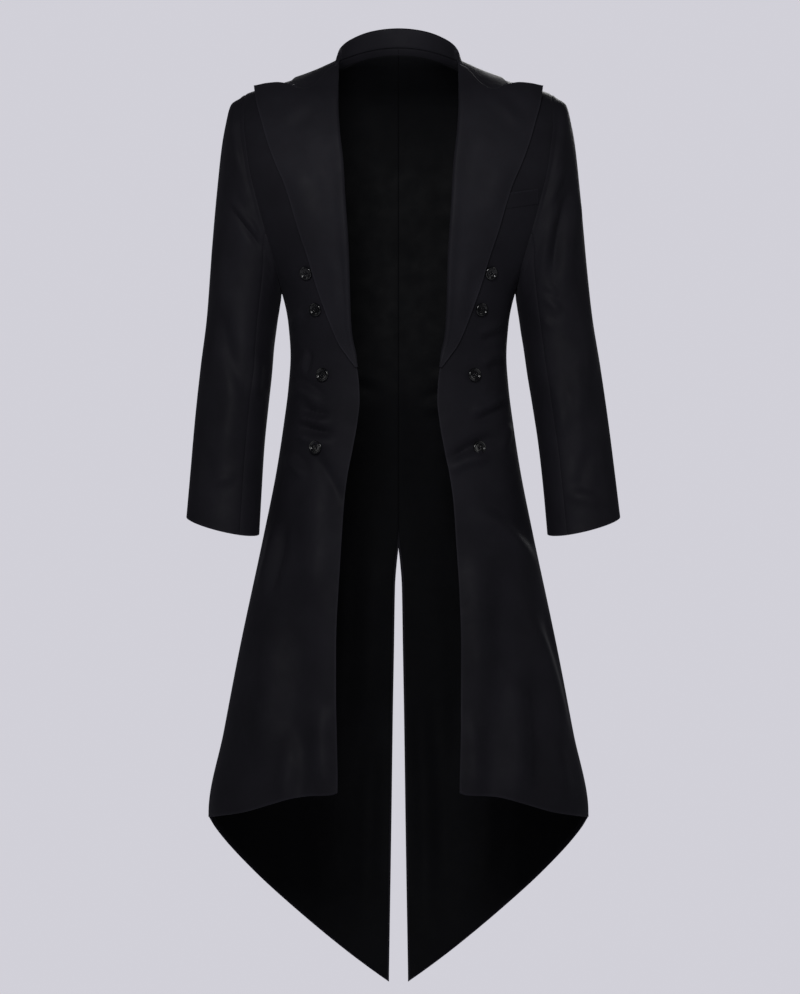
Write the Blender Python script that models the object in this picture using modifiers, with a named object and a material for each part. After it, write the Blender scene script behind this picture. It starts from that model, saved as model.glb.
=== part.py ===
"""White tie tailcoat, built as the hollow worn form that a wearer fills out.

Two fronts, two backs with long pointed tails, back linings, wide peaked lapels, a folded collar,
two-piece sleeves, a chest pocket welt and eight coat buttons. Every piece of cloth is an open
sheet on the coat's form, given its wall by Solidify. The coat faces -Y, +X is the wearer's left,
and the origin lies between the two shoulder seams at the neck, where the wearer holds it up.
Lengths in the tables are millimetres; the scene is in metres.
"""

import math

import bmesh
import bpy
import numpy as np
from mathutils import Vector

MM = 0.001

# Driving dimensions
CLOTH = 1.6              # wall of the suiting
FOLDED_CLOTH = 2.0       # wall of the lapels and collar, which are two layers
LINING = 1.0             # wall of the lining
SEAM = 0.3               # space left between pieces that are sewn together
LINING_GAP = 2.0         # space between the lining and the back it hangs in
LAPEL_GAP = 2.8          # air under a lapel or the collar's fall, with room for the pocket welt
WELT_GAP = 0.3           # space under the pocket welt
NECK_POINT = 84.0        # half width of the neck at the shoulder seams
NECK_HEIGHT = -8.0       # height of the shoulder seams' inner ends
BACK_NECK = 12.0         # height of the neckline at centre back
SHOULDER_POINT = 222.0   # half width at the armhole's top
SHOULDER_DROP = -58.0    # height of the armhole's top
ARMPIT = -346.0          # height of the armhole's lowest point
LAPEL_FOOT = -452.0      # height at which the lapel runs into the front edge
VENT_TOP = -715.0        # height of the top of the centre back vent
TAIL_TIP = -1338.0       # height of the tails' points
SIDE_HEM = -1096.0       # height of the hem at the side seams
LINING_INSET = 11.0      # the lining stops this far inside the back's edges
BUTTON_DIAMETER = 20.0

# The coat's form at each height: half width at the side, depth forward and back of the side
# seam, and how square the section is (2 is an ellipse).
FORM_COLUMNS = ("height", "half_width", "front", "back", "square")
FORM = (
    (16, 77, 30, 58, 2.0),
    (4, 80, 33, 61, 2.0),
    (-8, 84, 38, 66, 2.0),
    (-20, 108, 46, 74, 2.0),
    (-28.5, 130, 53, 80, 2.0),
    (-36, 152, 60, 85, 2.05),
    (-43, 175, 67, 90, 2.1),
    (-50.5, 203, 75, 95, 2.15),
    (-58, 222, 82, 99, 2.2),
    (-70, 232, 90, 104, 2.3),
    (-100, 243, 103, 111, 2.45),
    (-135, 246, 114, 116, 2.5),
    (-170, 243, 121, 118, 2.5),
    (-200, 237, 125, 117, 2.5),
    (-230, 228, 126, 115, 2.5),
    (-265, 213, 125, 111, 2.5),
    (-300, 193, 122, 107, 2.5),
    (-346, 167, 117, 101, 2.5),
    (-390, 158, 111, 93, 2.45),
    (-435, 155, 106, 87, 2.4),
    (-480, 158, 106, 87, 2.35),
    (-535, 165, 109, 94, 2.3),
    (-600, 175, 114, 105, 2.25),
    (-700, 195, 123, 119, 2.2),
    (-860, 229, 139, 135, 2.2),
    (-980, 252, 150, 145, 2.2),
    (-1096, 274, 160, 152, 2.2),
    (-1338, 275, 168, 158, 2.2),
)

# Distances down a front or back at which its rows lie, crowded where the form turns most, and
# the shares of its width at which its columns lie
ROW_STOPS = (
    0, 1.5, 6, 14, 26, 44, 70, 105, 145, 190, 238, 288, 335, 380, 425, 470, 525, 600, 700, 810,
    930,
)
FRONT_ACROSS = np.linspace(0, 1, 10)
BACK_ACROSS = np.linspace(0, 1, 11)

# Distance of the front edge, which is the lapel's roll line above the waist, from the centre.
FRONT_EDGE_COLUMNS = ("height", "x")
FRONT_EDGE = (
    (-8, 87), (-20, 88), (-75, 88.5), (-110, 86.5), (-160, 81), (-205, 78.5), (-290, 73),
    (-335, 71.5), (-385, 69.5), (-415, 66.5), (-445, 61), (-475, 57), (-500, 56), (-530, 59),
    (-570, 66), (-610, 74), (-645, 79), (-710, 83.5), (-780, 87.5), (-860, 90), (-960, 90),
    (-1063, 88),
)

# Distance of the armhole seam from the centre.
ARMHOLE_COLUMNS = ("height", "x")
ARMHOLE = (
    (-58, 222), (-75, 223.5), (-100, 223.5), (-135, 219.5), (-170, 214), (-205, 206),
    (-240, 196.5), (-275, 186), (-310, 176), (-346, 167),
)

# Distance of the lapel's outer edge from the centre.
LAPEL_EDGE_COLUMNS = ("height", "x")
LAPEL_EDGE = (
    (-41, 207), (-52, 206), (-75, 202), (-100, 195), (-120, 189.5), (-142, 182), (-160, 175),
    (-192, 161.5), (-257, 141.5), (-290, 130), (-329, 118), (-358, 108), (-392, 95.5),
    (-417, 86.5), (-436, 77), (-452, 68),
)

# Distances down the lapel at which its rows lie
LAPEL_STOPS = (0, 4, 11, 22, 40, 68, 102, 140, 180, 222, 264, 306, 346, 382, 411)

# The gorge, where the lapel's top edge meets the collar, and on to the peak's tip.
GORGE_COLUMNS = ("x", "height")
GORGE = (
    (88, -17), (97, -22), (107, -32.5), (117, -43.5), (127, -51), (137, -54.5), (148, -53.5),
    (160, -50.5), (174, -47), (189, -44), (207, -41),
)
PEAK_CLEAR = 9.0         # the peak leaves the front this far below the shoulder line
PEAK_LEAN = 0.8          # and leans back by this much for each millimetre it rises

# The lower edge of a tail: height at each distance from the centre.
TAIL_EDGE_COLUMNS = ("x", "height")
TAIL_EDGE = (
    (14, -1338), (40, -1319), (77, -1290), (145, -1232), (207, -1174), (262, -1115), (274, -1096),
)

# The front's hem: height at each distance from the centre.
FRONT_HEM_COLUMNS = ("x", "height")
FRONT_HEM = ((88, -1063), (98, -1065.5), (134, -1067), (180, -1077), (225, -1088), (274, -1096))

# Half of the opening between the tails.
VENT_COLUMNS = ("height", "x")
VENT = ((-715, 0.15), (-730, 2), (-770, 5), (-860, 6.5), (-970, 8.5), (-1120, 10.5), (-1338, 14))

# Rings of the sleeve. Each passes through an outer and an inner point, seen from the front,
# and reaches forward and back of its middle. blend is 0 where the ring still has the armhole's
# shape and 1 where it is a plain oval.
SLEEVE_COLUMNS = (
    "outer_x", "outer_z", "inner_x", "inner_z", "middle_y", "front", "back", "blend",
)
SLEEVE = (
    (222, -58, 171, -345, 0, 70, 70, 0.0),
    (231, -62, 171.5, -350, 0, 71, 71, 0.1),
    (241, -71, 172, -355, 0, 72, 71, 0.32),
    (248.5, -98, 173, -361, 0, 73, 72, 0.6),
    (254.5, -131, 174, -368, 1, 73, 73, 0.85),
    (261, -190, 176, -380, 2, 72, 73, 1.0),
    (266.5, -250, 178.5, -398, 2, 70, 71, 1.0),
    (271.5, -310, 182, -422, 0, 67, 68, 1.0),
    (278, -380, 186.5, -462, -4, 64, 64, 1.0),
    (288, -450, 192.5, -506, -10, 61, 61, 1.0),
    (298, -530, 200, -566, -19, 57, 56, 1.0),
    (306, -606, 205.5, -630, -30, 53, 51, 1.0),
    (312.5, -668, 210, -688, -40, 49, 47, 1.0),
)
HEAD_ROLL = 7.0                      # how far the sleeve head stands out from its seam
CUFF_SLANT = 9.0                     # the cuff's front edge lies this much lower than its middle
SWING = 7.0                          # each cuff hangs this far towards the wearer's left
FRONT_SEAM_TURN = 62.0               # the sleeve's front seam, in degrees round from its inner line
BACK_SEAM_TURN = 58.0                # its back seam, the same way
HEAD_TURNS = (0, 7, 16, 27, 42, 64, 90)  # columns of the upper sleeve, closest at the shoulder

# Buttons of one column, from the top
BUTTON_COLUMNS = ("x", "height")
BUTTONS = ((132, -315), (118, -368), (108, -463), (117, -568))

# The pocket welt: its top edge's two ends and its height
WELT_INNER = (148.0, -202.0)
WELT_OUTER = (200.0, -194.0)
WELT_HEIGHT = 22.0
WELT_WALL = 1.2

# The collar. Its stations run from centre back (0) over the shoulder to the gorge (1).
SHOULDER_STATION = 0.62
STAND_COLUMNS = ("station", "height")
STAND = ((0, 26), (0.2, 25.5), (0.4, 22), (0.62, 13), (0.8, 6), (1, 2))
FOLD_RADIUS = 2.2        # inside the fold, between the stand and the fall
GORGE_GAP = 0.8          # space along the gorge, where the cloths turn sharply over the shoulder
FALL_TURN = 60.0         # how fast the fall's stations leave the shoulder seam behind it
NECK_EASE = 1.8          # the fall stands off this much more where it leaves the neck
NOTCH = 4.0              # the notch's width at the collar's corner
COLLAR_END = 160.0       # distance of the collar's corner from the centre
# The edge of the fall behind the shoulder seam
FALL_COLUMNS = ("x", "height")
FALL = ((0, -9), (40, -12), (75, -21), (105, -31), (128, -37.5), (141, -37.5), (147, -34.3))

COLOURS = {
    "suiting": (0.012, 0.012, 0.015, 0.62),
    "lapel_cloth": (0.014, 0.014, 0.018, 0.50),
    "lining": (0.004, 0.004, 0.005, 0.45),
    "button": (0.006, 0.006, 0.007, 0.12),
}


def column(table, names, wanted):
    """One named column of a table, as an array."""
    return np.array([row[names.index(wanted)] for row in table], float)


def along(table, names, key, wanted, at):
    """A smooth reading of a table: a cubic through its rows, with slopes that never overshoot."""
    x = column(table, names, key)
    y = column(table, names, wanted)
    if x[0] > x[-1]:
        x, y = x[::-1], y[::-1]
    step = np.diff(x)
    slope = np.diff(y) / step
    tangent = np.empty_like(y)
    tangent[0], tangent[-1] = slope[0], slope[-1]
    same_way = slope[:-1] * slope[1:] > 0
    mean = 2 * slope[:-1] * slope[1:] / np.where(same_way, slope[:-1] + slope[1:], 1)
    tangent[1:-1] = np.where(same_way, mean, 0)
    at = np.clip(np.asarray(at, float), x[0], x[-1])
    i = np.clip(np.searchsorted(x, at, side="right") - 1, 0, len(step) - 1)
    s = (at - x[i]) / step[i]
    return (
        y[i] * (1 + 2 * s) * (1 - s) ** 2
        + tangent[i] * step[i] * s * (1 - s) ** 2
        + y[i + 1] * s * s * (3 - 2 * s)
        - tangent[i + 1] * step[i] * s * s * (1 - s)
    )


def form(wanted, height):
    return along(FORM, FORM_COLUMNS, "height", wanted, height)


def depth(x, height, face):
    """How far the form reaches from the side seam's plane, at face "front" or "back"."""
    square = form("square", height)
    inside = 1 - (np.abs(x) / form("half_width", height)) ** square
    reach = form(face, height) * np.clip(inside, 0, 1) ** (1 / square)
    return np.maximum(reach, SEAM / 2)


def on_form(x, height, face):
    """Points of the form at distance x from the centre and a height, as an array of xyz."""
    x, height = np.broadcast_arrays(np.asarray(x, float), np.asarray(height, float))
    way = -1 if face == "front" else 1
    return np.stack([x, way * depth(x, height, face), height], -1)


def fullness(points):
    """Below 0 inside the form, 0 on it and above 0 outside."""
    x, y, height = points[..., 0], points[..., 1], points[..., 2]
    square = form("square", height)
    reach = np.where(y < 0, form("front", height), form("back", height))
    return (np.abs(x) / form("half_width", height)) ** square + (np.abs(y) / reach) ** square - 1


def outward(points):
    """The unit normal of the form at each point."""
    small = 0.5
    slope = np.stack(
        [fullness(points + small * way) - fullness(points - small * way) for way in np.eye(3)], -1
    )
    return slope / np.linalg.norm(slope, axis=-1, keepdims=True)


def lifted(points, amount):
    return points + outward(points) * np.asarray(amount, float)[..., None]


def shoulder_height(x):
    """Height of the shoulder seam at a distance from the centre."""
    heights = np.linspace(NECK_HEIGHT, SHOULDER_DROP, 60)
    return np.interp(x, form("half_width", heights), heights)


def mix(a, b, share):
    return a + (b - a) * share


def ease(share):
    share = np.clip(share, 0, 1)
    return share * share * (3 - 2 * share)


def rows_through(length, stops, passing):
    """Row positions from 0 to 1 at the given distances down, with one moved to pass a point."""
    rows = np.array([stop for stop in stops if stop < length] + [length], float)
    inner = rows[1:-1]
    inner[np.argmin(np.abs(inner - passing))] = passing
    return rows / length


def panel_side(height):
    """Distance of a front's or back's outer edge from the centre: the armhole, then the side seam."""
    armhole = along(ARMHOLE, ARMHOLE_COLUMNS, "height", "x", height)
    return np.where(height > ARMPIT + 0.01, armhole, form("half_width", height))


def round_to(inner, outer, half_width, share):
    """Distances from the centre, evenly turned round a section from inner to outer."""
    low = np.arcsin(np.clip(inner / half_width, 0, 1))
    high = np.arcsin(np.clip(outer / half_width, 0, 1))
    return half_width * np.sin(mix(low, high, share))


def panel_points(top_x, top, hem, inner_edge, across, down, settle, face):
    """The sheet of a front or back, from its top edge to its hem and from inner to outer edge.

    The rows follow the shoulder at the top and settle to even turns round the form lower down.
    """
    t, v = np.meshgrid(across, down)
    height = mix(top, hem, v)
    inner = inner_edge(height)
    outer = panel_side(height)
    level_x = round_to(inner, outer, form("half_width", height), t)
    x = mix(top_x, level_x, ease(v / settle))
    x = np.where(t >= 1, outer, np.where(t <= 0, np.where(v <= 0, top_x, inner), x))
    return on_form(np.minimum(x, form("half_width", height)), height, face)


def hem_heights(table, names, inner_edge, across):
    """Height of a hem under each column of a panel, found where the column meets the hem's line."""
    height = np.full(across.shape, SIDE_HEM)
    for _ in range(30):
        half_width = form("half_width", height)
        outer = form("half_width", SIDE_HEM) + 0 * height
        x = round_to(inner_edge(height), np.minimum(outer, half_width), half_width, across)
        height = along(table, names, "x", "height", x)
    height[-1] = SIDE_HEM
    return height


def front_points():
    """The front's sheet: across runs from the front edge to the side, down from shoulder to hem."""
    side_length = SHOULDER_DROP - SIDE_HEM
    down = rows_through(side_length, ROW_STOPS, SHOULDER_DROP - ARMPIT)
    top_x = mix(NECK_POINT + 3, SHOULDER_POINT, FRONT_ACROSS)

    def edge(height):
        return along(FRONT_EDGE, FRONT_EDGE_COLUMNS, "height", "x", height)

    hem = hem_heights(FRONT_HEM, FRONT_HEM_COLUMNS, edge, FRONT_ACROSS)
    return panel_points(top_x, shoulder_height(top_x), hem, edge, FRONT_ACROSS, down, 0.16, "front")


def back_top(x):
    """Height of the back's top edge: the neckline, then the shoulder seam."""
    neckline = BACK_NECK + (NECK_HEIGHT - BACK_NECK) * (x / NECK_POINT) ** 2
    return np.where(x < NECK_POINT, neckline, shoulder_height(x))


def back_points():
    """The back's sheet: across runs from centre back to the side, down from the top to the tail."""
    side_length = SHOULDER_DROP - SIDE_HEM
    down = rows_through(side_length, ROW_STOPS, SHOULDER_DROP - ARMPIT)
    top_x = mix(SEAM / 2, SHOULDER_POINT, BACK_ACROSS)

    def edge(height):
        return along(VENT, VENT_COLUMNS, "height", "x", height)

    hem = hem_heights(TAIL_EDGE, TAIL_EDGE_COLUMNS, edge, BACK_ACROSS)
    return panel_points(top_x, back_top(top_x), hem, edge, BACK_ACROSS, down, 0.14, "back")


def drawn_in(points, centre, top, side, hem):
    """A grid with its border drawn in along its own faces, by a distance for each edge."""
    points = np.array(points)

    def pull(border, inner, amount):
        way = inner - border
        length = np.linalg.norm(way, axis=-1, keepdims=True)
        return border + way * np.minimum(np.reshape(amount, (-1, 1)) / length, 0.9)

    points[:, 0] = pull(points[:, 0], points[:, 1], centre)
    points[:, -1] = pull(points[:, -1], points[:, -2], side)
    points[0] = pull(points[0], points[1], top)
    points[-1] = pull(points[-1], points[-2], hem)
    return points


def lining_points(back):
    """The back's own sheet without the rows at its top edge, drawn in and moved inwards."""
    sheet = back[2:]
    vent = LINING_INSET * ease((VENT_TOP + 40 - sheet[:, 0, 2]) / 60)
    sheet = drawn_in(sheet, vent, 1.0, 0.0, LINING_INSET)
    return lifted(sheet, np.full(sheet.shape[:2], -(LINING + LINING_GAP)))


def standing(x, height):
    """Points on the front and its normals there, for a sheet whose top may leave the shoulder.

    Where a height comes near the shoulder line beyond the collar, the point leaves the front a
    little below that line and goes on upwards, leaning back.
    """
    x, height = np.broadcast_arrays(np.asarray(x, float), np.asarray(height, float))
    limit = shoulder_height(x) - PEAK_CLEAR
    soft = 3.0
    capped = -soft * np.logaddexp(-height / soft, -limit / soft)
    on_front = mix(height, capped, ease((x - 118) / 20))
    rise = height - on_front
    points = on_form(np.minimum(x, form("half_width", on_front)), on_front, "front")
    normals = outward(points)
    points[..., 1] += PEAK_LEAN * rise
    points[..., 2] += rise
    return points, normals


def gorge_line():
    """Points of the gorge, the way over the shoulder from each, and the front's normals there."""
    x = column(GORGE, GORGE_COLUMNS, "x")
    line, normals = standing(x, column(GORGE, GORGE_COLUMNS, "height"))
    over = np.cross(np.gradient(line, axis=0), normals)
    over /= np.linalg.norm(over, axis=-1, keepdims=True)
    return line, over * np.sign(over[:, 2:3]), normals


def lapel_points():
    """The lapel's sheet: its top row is the gorge, its columns run down to the lapel's foot."""
    line, over, _ = gorge_line()
    across = (line[:, 0] - line[0, 0]) / (line[-1, 0] - line[0, 0])
    down = np.array(LAPEL_STOPS) / LAPEL_STOPS[-1]
    t, v = np.meshgrid(across, down)
    height = mix(column(GORGE, GORGE_COLUMNS, "height"), LAPEL_FOOT, v)
    roll = along(FRONT_EDGE, FRONT_EDGE_COLUMNS, "height", "x", height)
    edge = along(LAPEL_EDGE, LAPEL_EDGE_COLUMNS, "height", "x", height)
    x = mix(line[:, 0], mix(roll, edge, t), np.where((t > 0) & (t < 1), ease(v / 0.10), 1.0))
    x[0] = line[:, 0]
    sheet, normals = standing(x, height)
    sheet[0] -= over * (GORGE_GAP / 2 + 2.0 * np.exp(-across / 0.05))[:, None]
    roll_rise = 1.6 * np.exp(-((t / 0.12) ** 2)) * ease((1 - v) / 0.3) * ease(v / 0.1)
    return sheet + normals * (CLOTH + LAPEL_GAP + roll_rise)[..., None]


def neck_point(station):
    """Where the collar's foot meets the coat at a station."""
    if station <= SHOULDER_STATION:
        x = NECK_POINT * math.sin(station / SHOULDER_STATION * math.pi / 2)
        point = on_form(np.array([x]), back_top(np.array([x])), "back")
    else:
        share = (station - SHOULDER_STATION) / (1 - SHOULDER_STATION)
        x, low = mix(NECK_POINT, GORGE[0][0], share), mix(NECK_HEIGHT, GORGE[0][1], share ** 1.4)
        point = on_form(np.array([x]), np.minimum(low, shoulder_height(np.array([x]))), "front")
    return point[0]


def fall_points(station):
    """The fall at a station, lying on the coat from the neck to the collar's edge."""
    lift = CLOTH + LAPEL_GAP
    line, over, normals = gorge_line()
    kept = line[:, 0] <= COLLAR_END
    line, over, normals = line[kept], over[kept], normals[kept]
    out = (line[:, 0] - line[0, 0]) / (line[-1, 0] - line[0, 0])
    if station <= SHOULDER_STATION:
        share = station / SHOULDER_STATION
        neck = neck_point(station)
        edge_x = mix(0, FALL[-1][0], math.sin(share * math.pi / 2))
        edge_z = float(along(FALL, FALL_COLUMNS, "x", "height", edge_x))
        x = mix(neck[0], edge_x, out)
        limit = back_top(x) - FALL_TURN * (1 - share) ** 2 * np.minimum(out / 0.5, 1)
        height = np.minimum(mix(neck[2], edge_z, out), limit)
        lying = on_form(np.minimum(x, form("half_width", height)), height, "back")
        return lifted(lying, lift + NECK_EASE * (1 - out) ** 2)
    if station >= 1:
        apart = GORGE_GAP / 2 + NOTCH * ease((line[:, 0] - 137) / 23)
        return line + over * apart[:, None] + normals * lift
    share = (station - SHOULDER_STATION) / (1 - SHOULDER_STATION)
    x = mix(mix(NECK_POINT, FALL[-1][0], out), line[:, 0], share)
    ridge = shoulder_height(x)
    gorge = along(GORGE, GORGE_COLUMNS, "x", "height", x)
    height = mix(ridge, np.minimum(gorge, ridge), share ** 1.8)
    lying = on_form(np.minimum(x, form("half_width", height)), height, "front")
    return lifted(lying, lift + NECK_EASE * (1 - share) * (1 - out) ** 2)


def collar_points():
    """The collar: at each station up the stand, over the fold and down the fall.

    Stations run from the right gorge round the back of the neck to the left gorge.
    """
    back = np.linspace(0, SHOULDER_STATION, 9)
    front = np.linspace(SHOULDER_STATION, 1, 5)[1:]
    rows = []
    for station in np.concatenate([back, front]):
        neck = neck_point(station)
        facing = math.radians(min(90.0, 90.0 * station / SHOULDER_STATION))
        level = np.array([math.sin(facing), math.cos(facing), 0.0])
        up = np.array([0, 0, 1.0])
        height = float(along(STAND, STAND_COLUMNS, "station", "height", station))
        clear = 1.0 + CLOTH * mix(0.4, 1.0, min(1, station / SHOULDER_STATION))
        foot = neck - level * 0.3 + up * clear
        head = foot + up * height - level * 0.12 * height
        crown = head + level * FOLD_RADIUS + up * FOLD_RADIUS
        fall_head = head + level * 2 * FOLD_RADIUS
        lying = fall_points(station)[1:]
        hang = mix(fall_head, lying[0], 0.5) + level * 0.5
        rows.append(np.array([foot, head, crown, fall_head, hang, *lying]))
    left = np.array(rows)
    right = left[:0:-1] * np.array([-1.0, 1.0, 1.0])
    return np.concatenate([right, left])


def armhole_ring(turns):
    """The armhole seam, 0 at the shoulder, 90 degrees at the front and 180 under the arm."""
    heights = np.linspace(SHOULDER_DROP, ARMPIT, 60)
    x = along(ARMHOLE, ARMHOLE_COLUMNS, "height", "x", heights)
    x[-1] = form("half_width", ARMPIT)
    turn = np.mod(turns, 2 * math.pi)
    ring = []
    for face in ("front", "back"):
        line = on_form(x, heights, face)
        length = np.concatenate([[0], np.cumsum(np.linalg.norm(np.diff(line, axis=0), axis=1))])
        share = length / length[-1]
        wanted = turn / math.pi if face == "front" else 2 - turn / math.pi
        points = np.stack([np.interp(wanted, share, line[:, i]) for i in range(3)], -1)
        ring.append(points)
    return np.where((turn <= math.pi)[:, None], ring[0], ring[1])


def sleeve_points(turns, swing):
    """The sleeve's sheet: a ring for each row of the table, from the armhole to the cuff."""
    turns = np.asarray(turns, float)
    seam = armhole_ring(turns)
    under = (1 - np.cos(turns)) / 2
    normal = outward(seam)
    ring_way = armhole_ring(turns + 0.05) - armhole_ring(turns - 0.05)
    leaving = np.cross(normal, ring_way)
    leaving /= np.linalg.norm(leaving, axis=1, keepdims=True)
    clear = under[:, None] ** 3
    start = seam + leaving * 0.6 * (1 - clear) + np.array([3.9, 0, 1.0]) * clear
    first = {name: SLEEVE[0][i] for i, name in enumerate(SLEEVE_COLUMNS)}
    rows = []
    for index, values in enumerate(SLEEVE):
        ring = dict(zip(SLEEVE_COLUMNS, values))
        middle = np.array([
            (ring["outer_x"] + ring["inner_x"]) / 2, ring["middle_y"],
            (ring["outer_z"] + ring["inner_z"]) / 2,
        ])
        half = np.array([
            (ring["outer_x"] - ring["inner_x"]) / 2, 0.0, (ring["outer_z"] - ring["inner_z"]) / 2,
        ])
        reach = np.where(np.sin(turns) > 0, ring["front"], ring["back"])
        slant = CUFF_SLANT * ease((index - 8) / (len(SLEEVE) - 9))
        oval = (
            middle
            + np.cos(turns)[:, None] * half
            + np.stack([0 * turns, -reach * np.sin(turns), -slant * np.sin(turns)], -1)
        )
        moved = {
            end: np.array([ring[end + "_x"] - first[end + "_x"], 0, ring[end + "_z"] - first[end + "_z"]])
            for end in ("outer", "inner")
        }
        carried = start + mix(moved["outer"], moved["inner"], under[:, None])
        points = mix(carried, oval, ring["blend"])
        if index == 1:
            points = mix(points, start + leaving * HEAD_ROLL, 0.8 * (1 - under[:, None]) ** 2)
        points[:, 0] += swing * min(1.0, max(0.0, (ARMPIT - middle[2]) / 320))
        rows.append(points)
    return np.array(rows)


def set_apart(points, amount):
    """A sleeve's sheet with its two long edges moved back from the seam, square to the seam."""
    points = np.array(points)
    for edge, inner in ((0, 1), (-1, -2)):
        line = points[:, edge]
        tangent = np.gradient(line, axis=0)
        tangent /= np.linalg.norm(tangent, axis=1, keepdims=True)
        way = points[:, inner] - line
        way -= tangent * np.sum(way * tangent, axis=1, keepdims=True)
        points[:, edge] = line + amount * way / np.linalg.norm(way, axis=1, keepdims=True)
    return points


def material(name):
    """The Principled material of one cloth or of the buttons."""
    found = bpy.data.materials.get(name)
    if found:
        return found
    made = bpy.data.materials.new(name)
    made.use_nodes = True
    red, green, blue, roughness = COLOURS[name]
    shader = made.node_tree.nodes["Principled BSDF"]
    shader.inputs["Base Color"].default_value = (red, green, blue, 1.0)
    shader.inputs["Roughness"].default_value = roughness
    shader.inputs["Metallic"].default_value = 0.0
    made.diffuse_color = (red, green, blue, 1.0)
    return made


def cloth(collection, name, points, wall, finish, mirrored=False, facing=1):
    """A sheet from a grid of points, given a wall on its outer side.

    facing is 1 where rows run down and columns run away from the centre on the front.
    """
    points = np.array(points, float)
    if mirrored:
        points[..., 0] *= -1
        facing = -facing
    mesh = bpy.data.meshes.new(name)
    grid = bmesh.new()
    rows = [[grid.verts.new(tuple(p * MM)) for p in row] for row in points]
    for upper, lower in zip(rows, rows[1:]):
        for i in range(len(upper) - 1):
            corners = [upper[i], lower[i], lower[i + 1], upper[i + 1]]
            if facing < 0:
                corners = [upper[i], upper[i + 1], lower[i + 1], lower[i]]
            grid.faces.new(corners)
    grid.to_mesh(mesh)
    grid.free()
    mesh.shade_smooth()
    mesh.materials.append(material(finish))
    sheet = bpy.data.objects.new(name, mesh)
    collection.objects.link(sheet)
    solid = sheet.modifiers.new("wall", "SOLIDIFY")
    solid.thickness = wall * MM
    solid.offset = 1.0
    solid.use_rim = True
    return sheet


def pocket_welt(collection):
    """The chest pocket's welt, a band on the left front."""
    across = np.linspace(0, 1, 5)
    down = np.linspace(0, 1, 3)
    t, v = np.meshgrid(across, down)
    x = mix(WELT_INNER[0], WELT_OUTER[0], t)
    height = mix(WELT_INNER[1], WELT_OUTER[1], t) - WELT_HEIGHT * v
    sheet = lifted(on_form(x, height, "front"), np.full(x.shape, CLOTH + WELT_GAP))
    return cloth(collection, "pocket_welt", sheet, WELT_WALL, "suiting")


def button_profile():
    """Half section of a button, from the middle of its face round the rim to the middle of its back."""
    radius = BUTTON_DIAMETER / 2
    return (
        (0.0, 2.6), (radius * 0.62, 2.6), (radius * 0.74, 3.6), (radius * 0.88, 4.0),
        (radius, 3.0), (radius, 1.6), (radius * 0.80, 0.4), (0.0, 0.0),
    )


def button(collection, name, x, height, side):
    """A turned button, lying flat on the front."""
    mesh = bpy.data.meshes.new(name)
    section = bmesh.new()
    points = [section.verts.new((r * MM, 0.0, z * MM)) for r, z in button_profile()]
    for a, b in zip(points, points[1:]):
        section.edges.new((a, b))
    section.to_mesh(mesh)
    section.free()
    mesh.materials.append(material("button"))
    made = bpy.data.objects.new(name, mesh)
    collection.objects.link(made)
    screw = made.modifiers.new("turn", "SCREW")
    screw.steps = screw.render_steps = 16
    screw.use_merge_vertices = True
    screw.merge_threshold = 0.00005
    screw.use_smooth_shade = True
    base = on_form(np.array([x]), np.array([height]), "front")
    normal = outward(base)[0]
    place = base[0] + normal * (CLOTH + 0.9)
    place[0] *= side
    normal[0] *= side
    made.location = tuple(place * MM)
    made.rotation_mode = "QUATERNION"
    up = Vector((0, 0, 1))
    made.rotation_quaternion = up.rotation_difference(Vector(normal))
    return made


def main():
    for old in list(bpy.data.objects):
        bpy.data.objects.remove(old)
    coat = bpy.data.collections.new("tailcoat")
    bpy.context.scene.collection.children.link(coat)
    front = front_points()
    back = back_points()
    lining = lining_points(back)
    lapel = lapel_points()
    front_seam = math.pi - math.radians(FRONT_SEAM_TURN)
    back_seam = math.pi - math.radians(BACK_SEAM_TURN)
    head = np.radians(HEAD_TURNS)
    upper_turns = np.concatenate([[-back_seam], -head[:0:-1], head, [front_seam]])
    under_turns = np.linspace(front_seam, 2 * math.pi - back_seam, 6)
    for side, mirrored in (("left", False), ("right", True)):
        swing = -SWING if mirrored else SWING
        cloth(coat, f"front_{side}", front, CLOTH, "suiting", mirrored)
        cloth(coat, f"back_{side}", back, CLOTH, "suiting", mirrored, -1)
        cloth(coat, f"lining_{side}", lining, LINING, "lining", mirrored, -1)
        cloth(coat, f"lapel_{side}", lapel, FOLDED_CLOTH, "lapel_cloth", mirrored)
        upper = set_apart(sleeve_points(upper_turns, swing), SEAM)
        under = set_apart(sleeve_points(under_turns, swing), SEAM)
        cloth(coat, f"sleeve_upper_{side}", upper, CLOTH, "suiting", mirrored, -1)
        cloth(coat, f"sleeve_under_{side}", under, CLOTH, "suiting", mirrored, -1)
        for number, (x, height) in enumerate(BUTTONS, 1):
            button(coat, f"button_{side}_{number}", x, height, -1 if mirrored else 1)
    cloth(coat, "collar", collar_points(), FOLDED_CLOTH, "lapel_cloth")
    pocket_welt(coat)


main()
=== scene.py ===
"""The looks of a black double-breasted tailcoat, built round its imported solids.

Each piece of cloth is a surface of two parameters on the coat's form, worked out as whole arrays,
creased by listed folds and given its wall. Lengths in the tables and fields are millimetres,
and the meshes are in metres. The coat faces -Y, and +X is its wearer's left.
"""

import logging
import math
from collections.abc import Callable, Iterable, Sequence
from dataclasses import dataclass, field
from enum import Enum

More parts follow.
